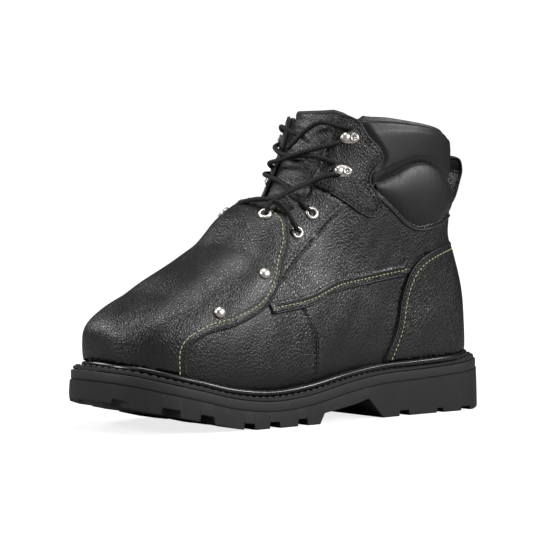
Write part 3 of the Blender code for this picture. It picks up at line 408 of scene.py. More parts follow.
class Skin:
    """A fine grid over the whole last: rings from the toe, fanned about the ankle, up to the collar.

    FULL holds the full numbers of rings on foot, turn and shaft, and of points round each.
    """

    FULL = (104, 176, 52, 312)
    CENTRE_Z, TOP_Z = 58.0, 214.0

    def __init__(self, share: float = 1.0) -> None:
        """Casts every ring of the grid onto the last.

        Args:
            share: Share of its full numbers.
        """
        foot_rings, turn_rings, shaft_rings, count = (2 * int(0.5 * share * full) for full in self.FULL)
        along = (np.arange(foot_rings) / foot_rings) ** 1.9
        foot = TOE_TIP + 0.002 + (PIVOT[0] - TOE_TIP - 0.002) * along
        turn = np.arange(turn_rings + 1) / turn_rings
        fan = 0.5 * math.pi * (1.0 - (1.0 - turn) ** 1.35)
        drop = (PIVOT[1] - self.CENTRE_Z) * (1.0 - turn) + (SHAFT_AXIS - PIVOT[0]) * turn
        high = PIVOT[1] + (self.TOP_Z - PIVOT[1]) * np.arange(1, shaft_rings + 1) / shaft_rings
        s = np.concatenate([foot, PIVOT[0] + drop * np.sin(fan), np.full(shaft_rings, SHAFT_AXIS)])
        z = np.concatenate([np.full(foot_rings, self.CENTRE_Z), PIVOT[1] - drop * np.cos(fan), high])
        tilt = np.concatenate([np.zeros(foot_rings), fan, np.full(shaft_rings, 0.5 * math.pi)])[:, None]
        around = np.linspace(0.0, 2.0 * math.pi, count, endpoint=False)
        aim = np.stack([np.broadcast_to(np.sin(around), (len(s), count)), -np.sin(tilt) * np.cos(around),
                        np.cos(tilt) * np.cos(around)], axis=-1)
        start = np.stack([np.zeros_like(s), s, z], axis=-1)[:, None, :]
        self.points = LAST.cast(np.broadcast_to(start, aim.shape), aim)
        self.normals = LAST.normals(self.points)
        j = np.arange(count // 2 - 1)
        pole = np.stack([j, count - 1 - j, count - 2 - j, j + 1], -1)
        self.quads = np.vstack([grid_faces(len(s), count), pole])
        step = np.linalg.norm(np.roll(self.points, -1, axis=1) - self.points, axis=-1)
        rise = np.linalg.norm(np.diff(self.points, axis=0, append=self.points[-1:]), axis=-1)
        self.spacing = np.maximum(step, rise).reshape(-1)


@dataclass
class Trim:
    """A trimmed piece of the skin: vertices on the last, their normals, and faces as index rows."""

    base: Array
    normals: Array
    faces: list

    def edge(self) -> Array:
        """Boundary edges in the winding of their faces: those that no other face uses."""
        edges = np.vstack([np.stack([block, np.roll(block, -1, axis=1)], -1).reshape(-1, 2)
                           for block in self.faces])
        key = np.sort(edges, axis=1)
        order = key[:, 0].astype(np.int64) * (key.max() + 1) + key[:, 1]
        _, where, count = np.unique(order, return_index=True, return_counts=True)
        return edges[where[count == 1]]


SLIDE_REACH, SLIDE_PROBE, SLIDE_SHARE, OUTSIDE = 3.0, 0.15, 0.62, 0.02


def trimmed(skin: Skin, distance: Distance, lift: Lift) -> Trim:
    """The part of the skin whose lifted points have a negative distance.

    Vertices near the outline slide along the surface onto it, so the edge is a clean line. The slide is
    -d g / |g|^2, with g the distance's gradient in the tangent plane, and it is made where it is under a
    share of the grid's spacing. A quad with one corner outside keeps its other three as a triangle.

    Args:
        skin: The grid.
        distance: Signed distance of lifted points to the outline.
        lift: Height of the lifted surface over the last.

    Returns:
        The trimmed piece.
    """
    base = skin.points.reshape(-1, 3).copy()
    normal = skin.normals.reshape(-1, 3).copy()
    outer = base + normal * lift(base)[:, None]
    depth = distance(outer)
    near = np.flatnonzero(np.abs(depth) < SLIDE_REACH)
    for _ in range(2):
        p, n = outer[near], normal[near]
        slope = np.zeros_like(p)
        for axis in range(3):
            offset = np.zeros(3)
            offset[axis] = SLIDE_PROBE
            slope[:, axis] = (distance(p + offset) - distance(p - offset)) / (2.0 * SLIDE_PROBE)
        slope -= n * (slope * n).sum(-1, keepdims=True)
        size = np.maximum((slope**2).sum(-1), 0.05)
        away = depth[near] / size
        close = np.abs(away * np.sqrt(size)) < SLIDE_SHARE * skin.spacing[near]
        picked = near[close]
        base[picked] = LAST.settle(base[picked] - slope[close] * away[close][:, None])
        normal[picked] = LAST.normals(base[picked])
        outer[picked] = base[picked] + normal[picked] * lift(base[picked])[:, None]
        depth[picked] = distance(outer[picked])
        near = picked
    depth[near] = np.minimum(depth[near], 0.0)
    out = (depth > OUTSIDE)[skin.quads]
    count = out.sum(axis=1)
    quads = skin.quads[count == 0]
    single = skin.quads[count == 1]
    which = np.argmax(out[count == 1], axis=1)
    turns = (which[:, None] + np.arange(1, 4)) % 4
    corners = np.take_along_axis(single, turns, axis=1)
    used = np.unique(np.concatenate([quads.reshape(-1), corners.reshape(-1)]))
    index = np.full(len(base), -1)
    index[used] = np.arange(len(used))
    return Trim(base[used], normal[used], [index[quads], index[corners]])


class Outline:
    """A closed side outline in (s, z), with its signed distance."""

    def __init__(self, edge: Sequence[Sequence[float]], closing: Sequence[Sequence[float]],
                 step: float = 2.0) -> None:
        """Smooths the edge and closes it.

        Args:
            edge: Points of the visible edge.
            closing: Corners that close it by straight runs, hidden under other pieces or off the last.
            step: Length of the edge's segments.
        """
        self.edge = curve(edge, step)
        self.loop = np.vstack([self.edge, np.asarray(closing, float)])

    def distance(self, p: Array) -> Array:
        """Distance to the loop: to the nearest of its segments, signed by counting crossings.

        Args:
            p: Points, of which s and z count.

        Returns:
            A distance per point, negative inside.
        """
        q = p[..., 1:].reshape(-1, 2)
        low, high = q.min(0) - 1.0, q.max(0) + 1.0
        best = np.full(len(q), 1e9)
        inside = np.zeros(len(q), bool)
        for a, b in zip(self.loop, np.roll(self.loop, -1, axis=0)):
            run = b - a
            t = np.clip(((q - a) @ run) / max(run @ run, 1e-9), 0.0, 1.0)
            best = np.minimum(best, ((q - a - t[:, None] * run) ** 2).sum(-1))
            if a[1] != b[1]:
                over = (a[1] > q[:, 1]) != (b[1] > q[:, 1])
                inside ^= over & (q[:, 0] < run[0] * (q[:, 1] - a[1]) / run[1] + a[0])
        gap = np.sqrt(best)
        return np.where(inside, -gap, gap).reshape(p.shape[:-1])

    def inset(self, distance: float) -> Array:
        """The edge moved inwards by a distance, as (s, z) rows; probes beside it find which way that is."""
        along = unit(np.gradient(self.edge, axis=0))
        side = np.column_stack([-along[:, 1], along[:, 0]])
        probe = np.column_stack([np.zeros(len(self.edge)), self.edge + side * 0.5])
        sign = 1.0 if np.median(self.distance(probe)) < 0 else -1.0
        return self.edge + side * sign * distance


GUARD = Outline(GUARD_EDGE, ((100, 128), (60, 150), (-30, 150), (-30, -40), (46.5, -40)))
COUNTER = Outline(COUNTER_EDGE, ((340, 113), (340, -20), (206, -20)))
PATCH = Outline(PATCH_EDGE, ((120, 153), (120, 215), (183, 215)), 1.2)
EYESTAY = Outline(EYESTAY_EDGE, ((188, 165), (100, 165), (104, 90)))
QUARTER = Outline(QUARTER_SEAM + ((236, 101), (243, 106)), ((340, 112), (340, 148), (178, 148), (108, 90)))
CUSHION_FLOOR = Outline(PAD_EDGE, ((340, 133), (340, 230), (198, 230)))


def sole_top(s: Array) -> Array:
    """Height of the sole's upper face along the sole."""
    return smooth(s, *SOLE_TOP)


def feather(s: Array) -> Array:
    """Height of the upper's lower edge along the sole."""
    return sole_top(s) + FEATHER_RISE


def throat_distance(p: Array) -> Array:
    """Positive inside the lace opening: the smaller of the room to its side and to its back."""
    back, half = smooth(p[..., 2], THROAT[0], THROAT[1]), smooth(p[..., 2], THROAT[0], THROAT[2])
    return np.where(p[..., 2] < 106.0, -9.0, np.minimum(half - np.abs(p[..., 0]), back - p[..., 1]))


def floor_distance(p: Array, rise: float) -> Array:
    """Positive below a line over the feather."""
    return feather(p[..., 1]) + rise - p[..., 2]


def top_distance(p: Array, drop: float) -> Array:
    """Positive above the collar's top line, lowered behind the lace opening."""
    s, z = np.array(TOP_LINE, float).T
    return p[..., 2] - np.interp(p[..., 1], s, z) + drop * step_up((p[..., 1] - 183.0) / 8.0)


def flat(value: float) -> Lift:
    """The same lift everywhere."""
    return lambda p: np.full(p.shape[:-1], value)


def above_feather(line: Array, rise: float) -> Array:
    """Whether (s, z) rows lie more than a rise above the upper's lower edge."""
    return line[:, 1] > feather(line[:, 0]) + rise


def guard_lift(p: Array) -> Array:
    """The guard's inner face: on the vamp at toe and lower edge, clear of it over the instep."""
    return 0.2 + 5.5 * step_up((p[..., 1] - 58.0) / 50.0) * step_up((p[..., 2] - 60.0) / 42.0)


class Kit:
    """Shader nodes by short calls, and the groups that several finishes share."""

    groups: dict = {}

    def __init__(self, tree: bpy.types.NodeTree) -> None:
        """Works in one node tree."""
        self.tree = tree

    def link(self, source: bpy.types.NodeSocket, socket: bpy.types.NodeSocket) -> None:
        """Joins an output to an input."""
        self.tree.links.new(source, socket)

    def add(self, kind: str, **values: object) -> bpy.types.Node:
        """Adds a node.

        Args:
            kind: Its type.
            values: Names in lower case are the node's settings. I0, I1 and so on are inputs by number, and
                other names are inputs by name. A value that is a socket is linked.

        Returns:
            The node.
        """
        node = self.tree.nodes.new(kind)
        for name, value in values.items():
            if name[0].islower():
                setattr(node, name, value)
                continue
            numbered = name[0] == "I" and name[1:].isdigit()
            socket = node.inputs[int(name[1:]) if numbered else name.replace("_", " ")]
            if isinstance(value, bpy.types.NodeSocket):
                self.link(value, socket)
            else:
                socket.default_value = value
        return node

    def math(self, operation: str, a: object, b: object = 0.0) -> bpy.types.NodeSocket:
        """One sum or product."""
        return self.add("ShaderNodeMath", operation=operation, I0=a, I1=b).outputs[0]

    def noise(self, place: object, scale: float, detail: float, **more: float) -> bpy.types.Node:
        """A noise texture at a place."""
        return self.add("ShaderNodeTexNoise", Vector=place, Scale=scale, Detail=detail, **more)

    def ranged(self, value: object, low: float, high: float, to_low: float = 0.0, to_high: float = 1.0,
               kind: str = "LINEAR") -> bpy.types.NodeSocket:
        """A value carried from the range low to high onto the range to_low to to_high, held at its ends."""
        return self.add("ShaderNodeMapRange", interpolation_type=kind, Value=value, From_Min=low,
                        From_Max=high, To_Min=to_low, To_Max=to_high).outputs[0]

    @classmethod
    def group(cls, name: str, inputs: dict, outputs: Sequence[str], build: Callable) -> bpy.types.NodeTree:
        """A shared node group, made once.

        Args:
            name: The group's name.
            inputs: Input names, with a default each, or None for a vector.
            outputs: Names of its outputs, which are numbers.
            build: Fills the group, from a kit, its input node and its output node.

        Returns:
            The group.
        """
        if name not in cls.groups:
            tree = bpy.data.node_groups.new(name, "ShaderNodeTree")
            for key, value in inputs.items():
                kind = "NodeSocketVector" if value is None else "NodeSocketFloat"
                socket = tree.interface.new_socket(key, in_out="INPUT", socket_type=kind)
                if value is not None:
                    socket.default_value = value
            for key in outputs:
                tree.interface.new_socket(key, in_out="OUTPUT", socket_type="NodeSocketFloat")
            build(cls(tree), tree.nodes.new("NodeGroupInput"), tree.nodes.new("NodeGroupOutput"))
            cls.groups[name] = tree
        return cls.groups[name]


def pebble_grain() -> bpy.types.NodeTree:
    """Pebbled leather grain: rounded cells with creases between, in patches of uneven depth."""

    def build(kit: Kit, source: bpy.types.Node, sink: bpy.types.Node) -> None:
        """Height is the rounded distance to the cells' edges times the patches' depth, plus fine noise.

        Args:
            kit: The group's nodes.
            source: Its input node.
            sink: Its output node.
        """
        place = source.outputs["Place"]
        warp = kit.noise(place, 160.0, 2.0)
        moved = kit.add("ShaderNodeVectorMath", operation="MULTIPLY_ADD", I0=warp.outputs["Color"],
                        I1=(0.0016, 0.0016, 0.0016), I2=place).outputs[0]
        cells = kit.add("ShaderNodeTexVoronoi", feature="DISTANCE_TO_EDGE", Vector=moved,
                        Scale=source.outputs["Cells per metre"])
        pebble = kit.ranged(cells.outputs["Distance"], -0.12, 0.34, kind="SMOOTHSTEP")
        fine = kit.noise(place, 2600.0, 3.0).outputs["Fac"]
        patch = kit.noise(place, 34.0, 2.0).outputs["Fac"]
        amount = kit.ranged(patch, 0.32, 0.68, 0.35, 1.0)
        height = kit.math("ADD", kit.math("MULTIPLY", pebble, amount), kit.math("MULTIPLY", fine, 0.03))
        kit.link(height, sink.inputs["Height"])
        # The Pebble mask also sets the leather's base colour: a painted highlight on the pebble tops and
        # painted shade in the creases.
        kit.link(pebble, sink.inputs["Pebble"])

    return Kit.group("pebble_grain", {"Place": None, "Cells per metre": 620.0}, ("Height", "Pebble"), build)


@dataclass(frozen=True)
class Finish:
    """A plain finish: base colour, roughness and metal, with fine noise in colour and relief.

    Speckle is the noise's waves per metre, relief its depth in metres, and uneven its share of the colour.
    """

    name: str
    colour: tuple
    roughness: float
    metal: float = 0.0
    coat: float = 0.0
    specular: float = 0.5
    speckle: float = 900.0
    relief: float = 0.00003
    uneven: float = 0.25

    def begin(self) -> tuple[bpy.types.Material, Kit, bpy.types.Node, bpy.types.NodeSocket]:
        """A material with its shader's constants set, and object coordinates."""
        material = bpy.data.materials.new(self.name)
        material.use_nodes = True
        kit = Kit(material.node_tree)
        shader = material.node_tree.nodes["Principled BSDF"]
        shader.inputs["Base Color"].default_value = (*self.colour, 1.0)
        shader.inputs["Roughness"].default_value = self.roughness
        shader.inputs["Metallic"].default_value = self.metal
        shader.inputs["Coat Weight"].default_value = self.coat
        shader.inputs["Coat Roughness"].default_value = 0.22
        shader.inputs["Specular IOR Level"].default_value = self.specular
        place = kit.add("ShaderNodeTexCoord").outputs["Object"]
        return material, kit, shader, place

    def tone(self, kit: Kit, shader: bpy.types.Node, mask: bpy.types.NodeSocket, low: float,
             high: float) -> None:
        """Base colour by a mask.

        Args:
            kit: The material's nodes.
            shader: Its shader.
            mask: From 0 to 1.
            low: Share of the finish's own colour where the mask is 0.
            high: The same where it is 1.
        """
        mix = kit.add("ShaderNodeMix", data_type="RGBA", I0=mask)
        mix.inputs[6].default_value = (*[c * low for c in self.colour], 1.0)
        mix.inputs[7].default_value = (*[c * high for c in self.colour], 1.0)
        kit.link(mix.outputs[2], shader.inputs["Base Color"])

    def relief_from(self, kit: Kit, shader: bpy.types.Node, height: bpy.types.NodeSocket,
                    depth: float) -> None:
        """Bump from a height of 0 to 1, so many metres deep."""
        bump = kit.add("ShaderNodeBump", Height=height, Distance=depth, Strength=1.0)
        kit.link(bump.outputs[0], shader.inputs["Normal"])

    def material(self) -> bpy.types.Material:
        """The finish as a material."""
        material, kit, shader, place = self.begin()
        noise = kit.noise(place, self.speckle, 4.0).outputs["Fac"]
        self.tone(kit, shader, noise, 1.0 - self.uneven, 1.0 + self.uneven)
        broad = kit.noise(place, 60.0, 3.0).outputs["Fac"]
        rough = kit.ranged(broad, 0.3, 0.7, self.roughness - 0.05, self.roughness + 0.06)
        kit.link(rough, shader.inputs["Roughness"])
        self.relief_from(kit, shader, noise, self.relief)
        return material


@dataclass(frozen=True)
class GrainedLeather(Finish):
    """Pebbled leather, with its grain's size and depth, and broader crinkles where it is soft."""

    cells: float = 620.0
    depth: float = 0.0005
    crinkle: float = 0.0

    def material(self) -> bpy.types.Material:
        """The leather as a material, with a painted highlight on the pebble tops and painted shade in the
        creases.
        """
        material, kit, shader, place = self.begin()
        lean = kit.add("ShaderNodeMapping", vector_type="POINT", Vector=place, Rotation=(0.35, 0.0, 0.0),
                       Scale=(1.0, 1.25, 0.8)).outputs[0]
        grain = kit.add("ShaderNodeGroup", node_tree=pebble_grain(), Place=lean)
        grain.inputs["Cells per metre"].default_value = self.cells
        height = grain.outputs["Height"]
        if self.crinkle:
            folds = kit.noise(place, 95.0, 3.0, Distortion=1.2).outputs["Fac"]
            ridge = kit.math("ABSOLUTE", kit.math("SUBTRACT", folds, 0.5))
            height = kit.math("ADD", height, kit.math("MULTIPLY", ridge, self.crinkle))
        # Painted highlight and painted shade: the base colour is 1.7 times its own on the pebble tops and 0.3
        # times in the creases.
        self.tone(kit, shader, grain.outputs["Pebble"], 0.3, 1.7)
        rough = kit.ranged(grain.outputs["Pebble"], 0.3, 1.0, self.roughness + 0.18, self.roughness)
        kit.link(rough, shader.inputs["Roughness"])
        self.relief_from(kit, shader, height, self.depth)
        return material


@dataclass(frozen=True)
class Braid(Finish):
    """Round braided cord: two sets of strands that cross, by the cord's own UV."""

    def material(self) -> bpy.types.Material:
        """The braid as a material: the larger of sin(2600 u + 25.13 v) and sin(2600 u - 25.13 v)."""
        material, kit, shader, _ = self.begin()
        uv = kit.add("ShaderNodeUVMap", uv_map="cord").outputs[0]
        parts = kit.add("ShaderNodeSeparateXYZ", Vector=uv)
        waves = []
        for lean in (1.0, -1.0):
            phase = kit.math("ADD", kit.math("MULTIPLY", parts.outputs[0], 2600.0),
                             kit.math("MULTIPLY", parts.outputs[1], lean * 25.13))
            waves.append(kit.math("SINE", phase))
        height = kit.math("MAXIMUM", waves[0], waves[1])
        mask = kit.ranged(height, -0.6, 1.0)
        # Painted shade between the strands and a painted highlight on their crests: the base colour follows
        # the strands' height, from 0.35 to 1.5 times its own.
        self.tone(kit, shader, mask, 0.35, 1.5)
        self.relief_from(kit, shader, mask, 0.0003)
        return material


class Looks(Enum):
    """Every finish of the boot, with the record's slot that it belongs to."""

    LEATHER = (GrainedLeather("pebbled_leather", (0.0030, 0.0030, 0.0034), 0.31, cells=540.0, depth=0.00025),
               "black_leather")
    SOFT_LEATHER = (GrainedLeather("soft_leather", (0.0030, 0.0030, 0.0034), 0.33, specular=0.45, cells=560.0,
                                   depth=0.00025, crinkle=2.5), "black_leather")
    SATIN = (GrainedLeather("satin_leather", (0.0055, 0.0055, 0.0068), 0.36, specular=0.45, cells=1500.0,
                            depth=0.00005), "collar_leather")
    CUT_EDGE = (Finish("cut_edge", (0.008, 0.008, 0.008), 0.7, relief=0.0001), "black_leather")
    BLACK_THREAD = (Finish("black_thread", (0.006, 0.006, 0.006), 0.55), "black_leather")
    CREAM_THREAD = (Finish("cream_thread", (0.38, 0.36, 0.22), 0.7), "black_leather")
    RUBBER = (Finish("matt_rubber", (0.014, 0.014, 0.015), 0.66, specular=0.3, speckle=700.0,
                     relief=0.00006), "sole_rubber")
    BAND = (Finish("band_rubber", (0.018, 0.018, 0.0195), 0.58, specular=0.35, speckle=500.0,
                   relief=0.00005), "sole_rubber")
    BEAD = (Finish("bead_rubber_gloss", (0.006, 0.006, 0.0065), 0.30, coat=0.1, speckle=300.0,
                   relief=0.00001), "bead_rubber")
    LINING = (Finish("lining_weave", (0.05, 0.05, 0.052), 0.9, speckle=1800.0, relief=0.0002),
              "lining_fabric")
    STEEL = (Finish("bright_steel_looks", (0.56, 0.53, 0.50), 0.40, metal=1.0, speckle=400.0, relief=0.0,
                    uneven=0.1), "bright_steel")
    LACE = (Braid("braided_lace", (0.006, 0.006, 0.0065), 0.65, specular=0.25), "lace_cord")

    def made(self) -> bpy.types.Material:
        """The finish's material, made at its first use."""
        finish = self.value[0]
        return bpy.data.materials.get(finish.name) or finish.material()


def piece(name: str, vertices: Array, faces: list, looks: Sequence[Looks], spans: Sequence[int] = (),
          nodes: Sequence[str] = (), crease: float = 50.0, uv: Optional[list] = None) -> bpy.types.Object:
    """A mesh from vertices in boot coordinates, riding on the boot.

    Args:
        name: The piece's name.
        vertices: Points in millimetres.
        faces: Arrays of index rows.
        looks: Finishes, one or more.
        spans: For each further finish, the number of the first face array that wears it.
        nodes: The solids that the piece stands for.
        crease: Faces that meet at more than this angle stay sharp.
        uv: For each face array, an array of corner coordinates.

    Returns:
        The object.
    """
    mesh = bpy.data.meshes.new(name)
    rows = [row for block in faces for row in block.tolist()]
    mesh.from_pydata(to_world(vertices).tolist(), [], rows)
    for look in looks:
        mesh.materials.append(look.made())
    slots = [np.full(len(block), sum(number >= first for first in spans))
             for number, block in enumerate(faces)]
    mesh.polygons.foreach_set("material_index", np.concatenate(slots).astype(np.int32))
    if uv is not None:
        layer = mesh.uv_layers.new(name="cord")
        layer.data.foreach_set("uv", np.concatenate([block.reshape(-1) for block in uv]).astype(np.float32))
    mesh.shade_smooth()
    mesh.set_sharp_from_angle(angle=math.radians(crease))
    made = bpy.data.objects.new(name, mesh)
    bpy.context.scene.collection.objects.link(made)
    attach(made, "root")
    if nodes:
        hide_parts(*nodes)
    LOG.info("%s: %d faces", name, len(rows))
    return made


def grid_faces(rows: int, count: int) -> Array:
    """Quads between rings of a count of points, closed round each ring."""
    i, j = np.meshgrid(np.arange(rows - 1), np.arange(count), indexing="ij")
    here, there, k = i * count, (i + 1) * count, (j + 1) % count
    return np.stack([here + j, here + k, there + k, there + j], -1).reshape(-1, 4)


def end_faces(rows: int, count: int) -> Array:
    """The faces that close the first and the last of some rings."""
    return np.array([np.arange(count)[::-1], (rows - 1) * count + np.arange(count)])


def loft(name: str, rings: Array, look: Looks, nodes: Sequence[str], crease: float,
         flipped: bool = False) -> bpy.types.Object:
    """A solid through rings of points, with a flat face at each end.

    Args:
        name: The piece's name.
        rings: Points in millimetres, as an array of rings.
        look: Its finish.
        nodes: Solids that it stands for.
        crease: Faces that meet at more than this angle stay sharp.
        flipped: Whether the rings run the other way, so that the faces are wound back.

    Returns:
        The object.
    """
    rows, count = rings.shape[:2]
    faces = [grid_faces(rows, count), end_faces(rows, count)]
    if flipped:
        faces = [block[:, ::-1] for block in faces]
    return piece(name, rings.reshape(-1, 3), faces, [look], nodes=nodes, crease=crease)


def frames_along(path: Array, up: Array) -> tuple[Array, Array, Array]:
    """Directions along a path.

    Args:
        path: Its points.
        up: The wanted normal at each.

    Returns:
        Unit tangents, sides and normals, the normals as near to up as they can be.
    """
    along = unit(np.gradient(path, axis=0))
    side = unit(np.cross(along, up))
    return along, side, np.cross(side, along)


def tube(name: str, path: Array, radius: float, look: Looks, nodes: Sequence[str] = (), around: int = 12,
         closed: bool = False) -> bpy.types.Object:
    """A round cord along a path.

    Its upward direction is carried along without twist: at each point it loses its part along the path.

    Args:
        name: The piece's name.
        path: The cord's centreline.
        radius: Its radius; the ends of an open cord narrow to 0.45 of it.
        look: Its finish.
        nodes: Solids that it stands for.
        around: Points round it.
        closed: Whether the path is a loop.

    Returns:
        The object. An open cord has a UV of its own: metres along it, and turns round it.
    """
    along = unit(np.gradient(path, axis=0))
    if closed:
        along = unit(np.roll(path, -1, axis=0) - np.roll(path, 1, axis=0))
    up = np.zeros_like(along)
    up[0] = unit(np.cross(along[0], (0.31, 0.12, 0.94)))
    for i in range(1, len(path)):
        up[i] = up[i - 1] - along[i] * (up[i - 1] @ along[i])
    up = unit(up)
    side = np.cross(along, up)
    turn = np.linspace(0.0, 2.0 * math.pi, around, endpoint=False)
    size = np.full(len(path), radius)
    if not closed:
        size[[0, -1]] = 0.45 * radius
    ring = up[:, None] * np.cos(turn)[:, None] + side[:, None] * np.sin(turn)[:, None]
    points = (path[:, None] + ring * size[:, None, None]).reshape(-1, 3)
    rows = len(path)
    if closed:
        loop = grid_faces(rows + 1, around) % (rows * around)
        return piece(name, points, [loop[:, ::-1]], [look], nodes=nodes, crease=80.0)
    run = run_along(path) * MM
    i, j = np.meshgrid(np.arange(rows - 1), np.arange(around), indexing="ij")
    u = np.stack([run[i], run[i], run[i + 1], run[i + 1]], -1).reshape(-1, 4)[:, ::-1]
    v = (np.stack([j, j + 1, j + 1, j], -1) / around).reshape(-1, 4)[:, ::-1]
    faces = [block[:, ::-1] for block in (grid_faces(rows, around), end_faces(rows, around))]
    uv = [np.stack([u, v], -1), np.zeros((2, around, 2))]
    return piece(name, points, faces, [look], nodes=nodes, crease=80.0, uv=uv)


@dataclass
class StitchRun:
    """Rows of sewn stitches: each a small bead of thread, sunk at both ends into its holes.

    ROUND is the number of rings along a stitch, and of points round each.
    """

    ROUND = 6
    name: str
    look: Looks
    length: float = 2.5
    gap: float = 0.7
    radius: float = 0.38
    points: list = field(default_factory=list)

    def row(self, path: Array, normals: Array) -> None:
        """Adds a row along a path on a surface.

        With u from -1 to 1 along a stitch, its radius falls as sqrt(1 - 0.92 u^2), and it dips by 0.5 u^4 mm.

        Args:
            path: Points of the row.
            normals: The surface's normals there.
        """
        if len(path) < 3:
            return
        both = even(np.hstack([path, normals]), self.length + self.gap)
        middle, up = both[:, :3], unit(both[:, 3:])
        along, side, up = frames_along(middle, up)
        u = np.linspace(-0.98, 0.98, self.ROUND)
        turn = np.linspace(0.0, 2.0 * math.pi, self.ROUND, endpoint=False)
        thick = self.radius * np.sqrt(1.0 - u**2 * 0.92)
        across = side[:, None, None] * np.cos(turn)[:, None] + up[:, None, None] * np.sin(turn)[:, None]
        body = (middle[:, None, None] + along[:, None, None] * (u * 0.5 * self.length)[:, None, None]
                + across * thick[:, None, None] + up[:, None, None] * (0.12 - 0.5 * u**4)[:, None, None])
        self.points.append(body.reshape(-1, self.ROUND**2, 3))

    def made(self) -> bpy.types.Object:
        """All rows as one piece."""
        body = np.concatenate(self.points)
        starts = (np.arange(len(body)) * self.ROUND**2)[:, None, None]
        faces = [(block(self.ROUND, self.ROUND)[:, ::-1] + starts).reshape(-1, corners)
                 for block, corners in ((grid_faces, 4), (end_faces, self.ROUND))]
        return piece(self.name, body.reshape(-1, 3), faces, [self.look], crease=80.0)


def seam_on_side(line: Array, side: Side, lift: Lift) -> tuple[Array, Array]:
    """A side line carried onto a lifted surface by rays along x.

    Args:
        line: Its (s, z) rows; those more than 1.5 mm off the last's middle plane are left out.
        side: The side of the boot.
        lift: Height of the surface over the last.

    Returns:
        The points and the surface's normals there.
    """
    start = np.column_stack([np.zeros(len(line)), line])
    inside = LAST.form(start) < 1.5
    aim = np.tile([side.value, 0.0, 0.0], (len(line), 1))
    return LAST.lifted(start[inside], aim[inside], lift)


def shaft_places(angle: Array, z: Array, lift: Array) -> Array:
    """Points over the shaft.

    Args:
        angle: Angles from its back.
        z: Heights.
        lift: Distances from the last.

    Returns:
        The points, in the common shape of the three.
    """
    angle, z, lift = np.broadcast_arrays(angle, z, lift)
    aim = np.stack([np.sin(angle), np.cos(angle), np.zeros_like(angle)], axis=-1)
    start = np.stack([np.zeros_like(angle), np.full_like(angle, SHAFT_AXIS), z], axis=-1)
    places = LAST.cast(start, aim, 90.0)
    return places + LAST.normals(places) * lift[..., None]


def line_height(edge: Sequence[Sequence[float]], angle: Array) -> Array:
    """Height of a side line at an angle round the shaft.

    The line's points are taken to lie SHAFT_HALF to the side, and closer over the last 22 mm at the back.

    Args:
        edge: The line's (s, z) points.
        angle: Angles from the back.

    Returns:
        A height per angle.
    """
    edge = curve(edge, 1.5)
    reach = SHAFT_HALF * np.clip((292.0 - edge[:, 0]) / 22.0, 0.02, 1.0)
    angles = np.arctan2(reach, edge[:, 0] - SHAFT_AXIS)
    order = np.argsort(angles)
    return np.interp(np.abs(angle), angles[order], edge[order, 1])


def sheet_piece(name: str, trim: Trim, inner: Lift, outer: Lift, look: Looks, nodes: Sequence[str],
                shape: Optional[Lift] = None, round_off: float = 0.45,
                inside: Looks = Looks.CUT_EDGE) -> bpy.types.Object:
    """A leather piece from a trimmed skin: outer face, rim and inner face.

    Args:
        name: The piece's name.
        trim: Its part of the skin.
        inner: Lift of the inner face.
        outer: Lift of the outer face.
        look: The leather.
        nodes: Solids that it stands for.
        shape: Extra lift of the outer face.
        round_off: Share of the thickness that the outer face drops by at its edge.
        inside: Finish of rim and inner face.

    Returns:
        The object.
    """
    low, high = inner(trim.base), outer(trim.base)
    edge = trim.edge()
    rim = np.zeros(len(trim.base), bool)
    rim[edge.reshape(-1)] = True
    extra = shape(trim.base) if shape else 0.0
    top = high + extra - np.where(rim, round_off * (high - low), 0.0)
    points = np.vstack([trim.base + trim.normals * height[:, None] for height in (top, low)])
    count = len(trim.base)
    walls = np.column_stack([edge[:, 1], edge[:, 0], edge[:, 0] + count, edge[:, 1] + count])
    backs = [block[:, ::-1] + count for block in trim.faces]
    return piece(name, points, [*trim.faces, walls, *backs], [look, inside], spans=[len(trim.faces)],
                 nodes=nodes, crease=62.0)


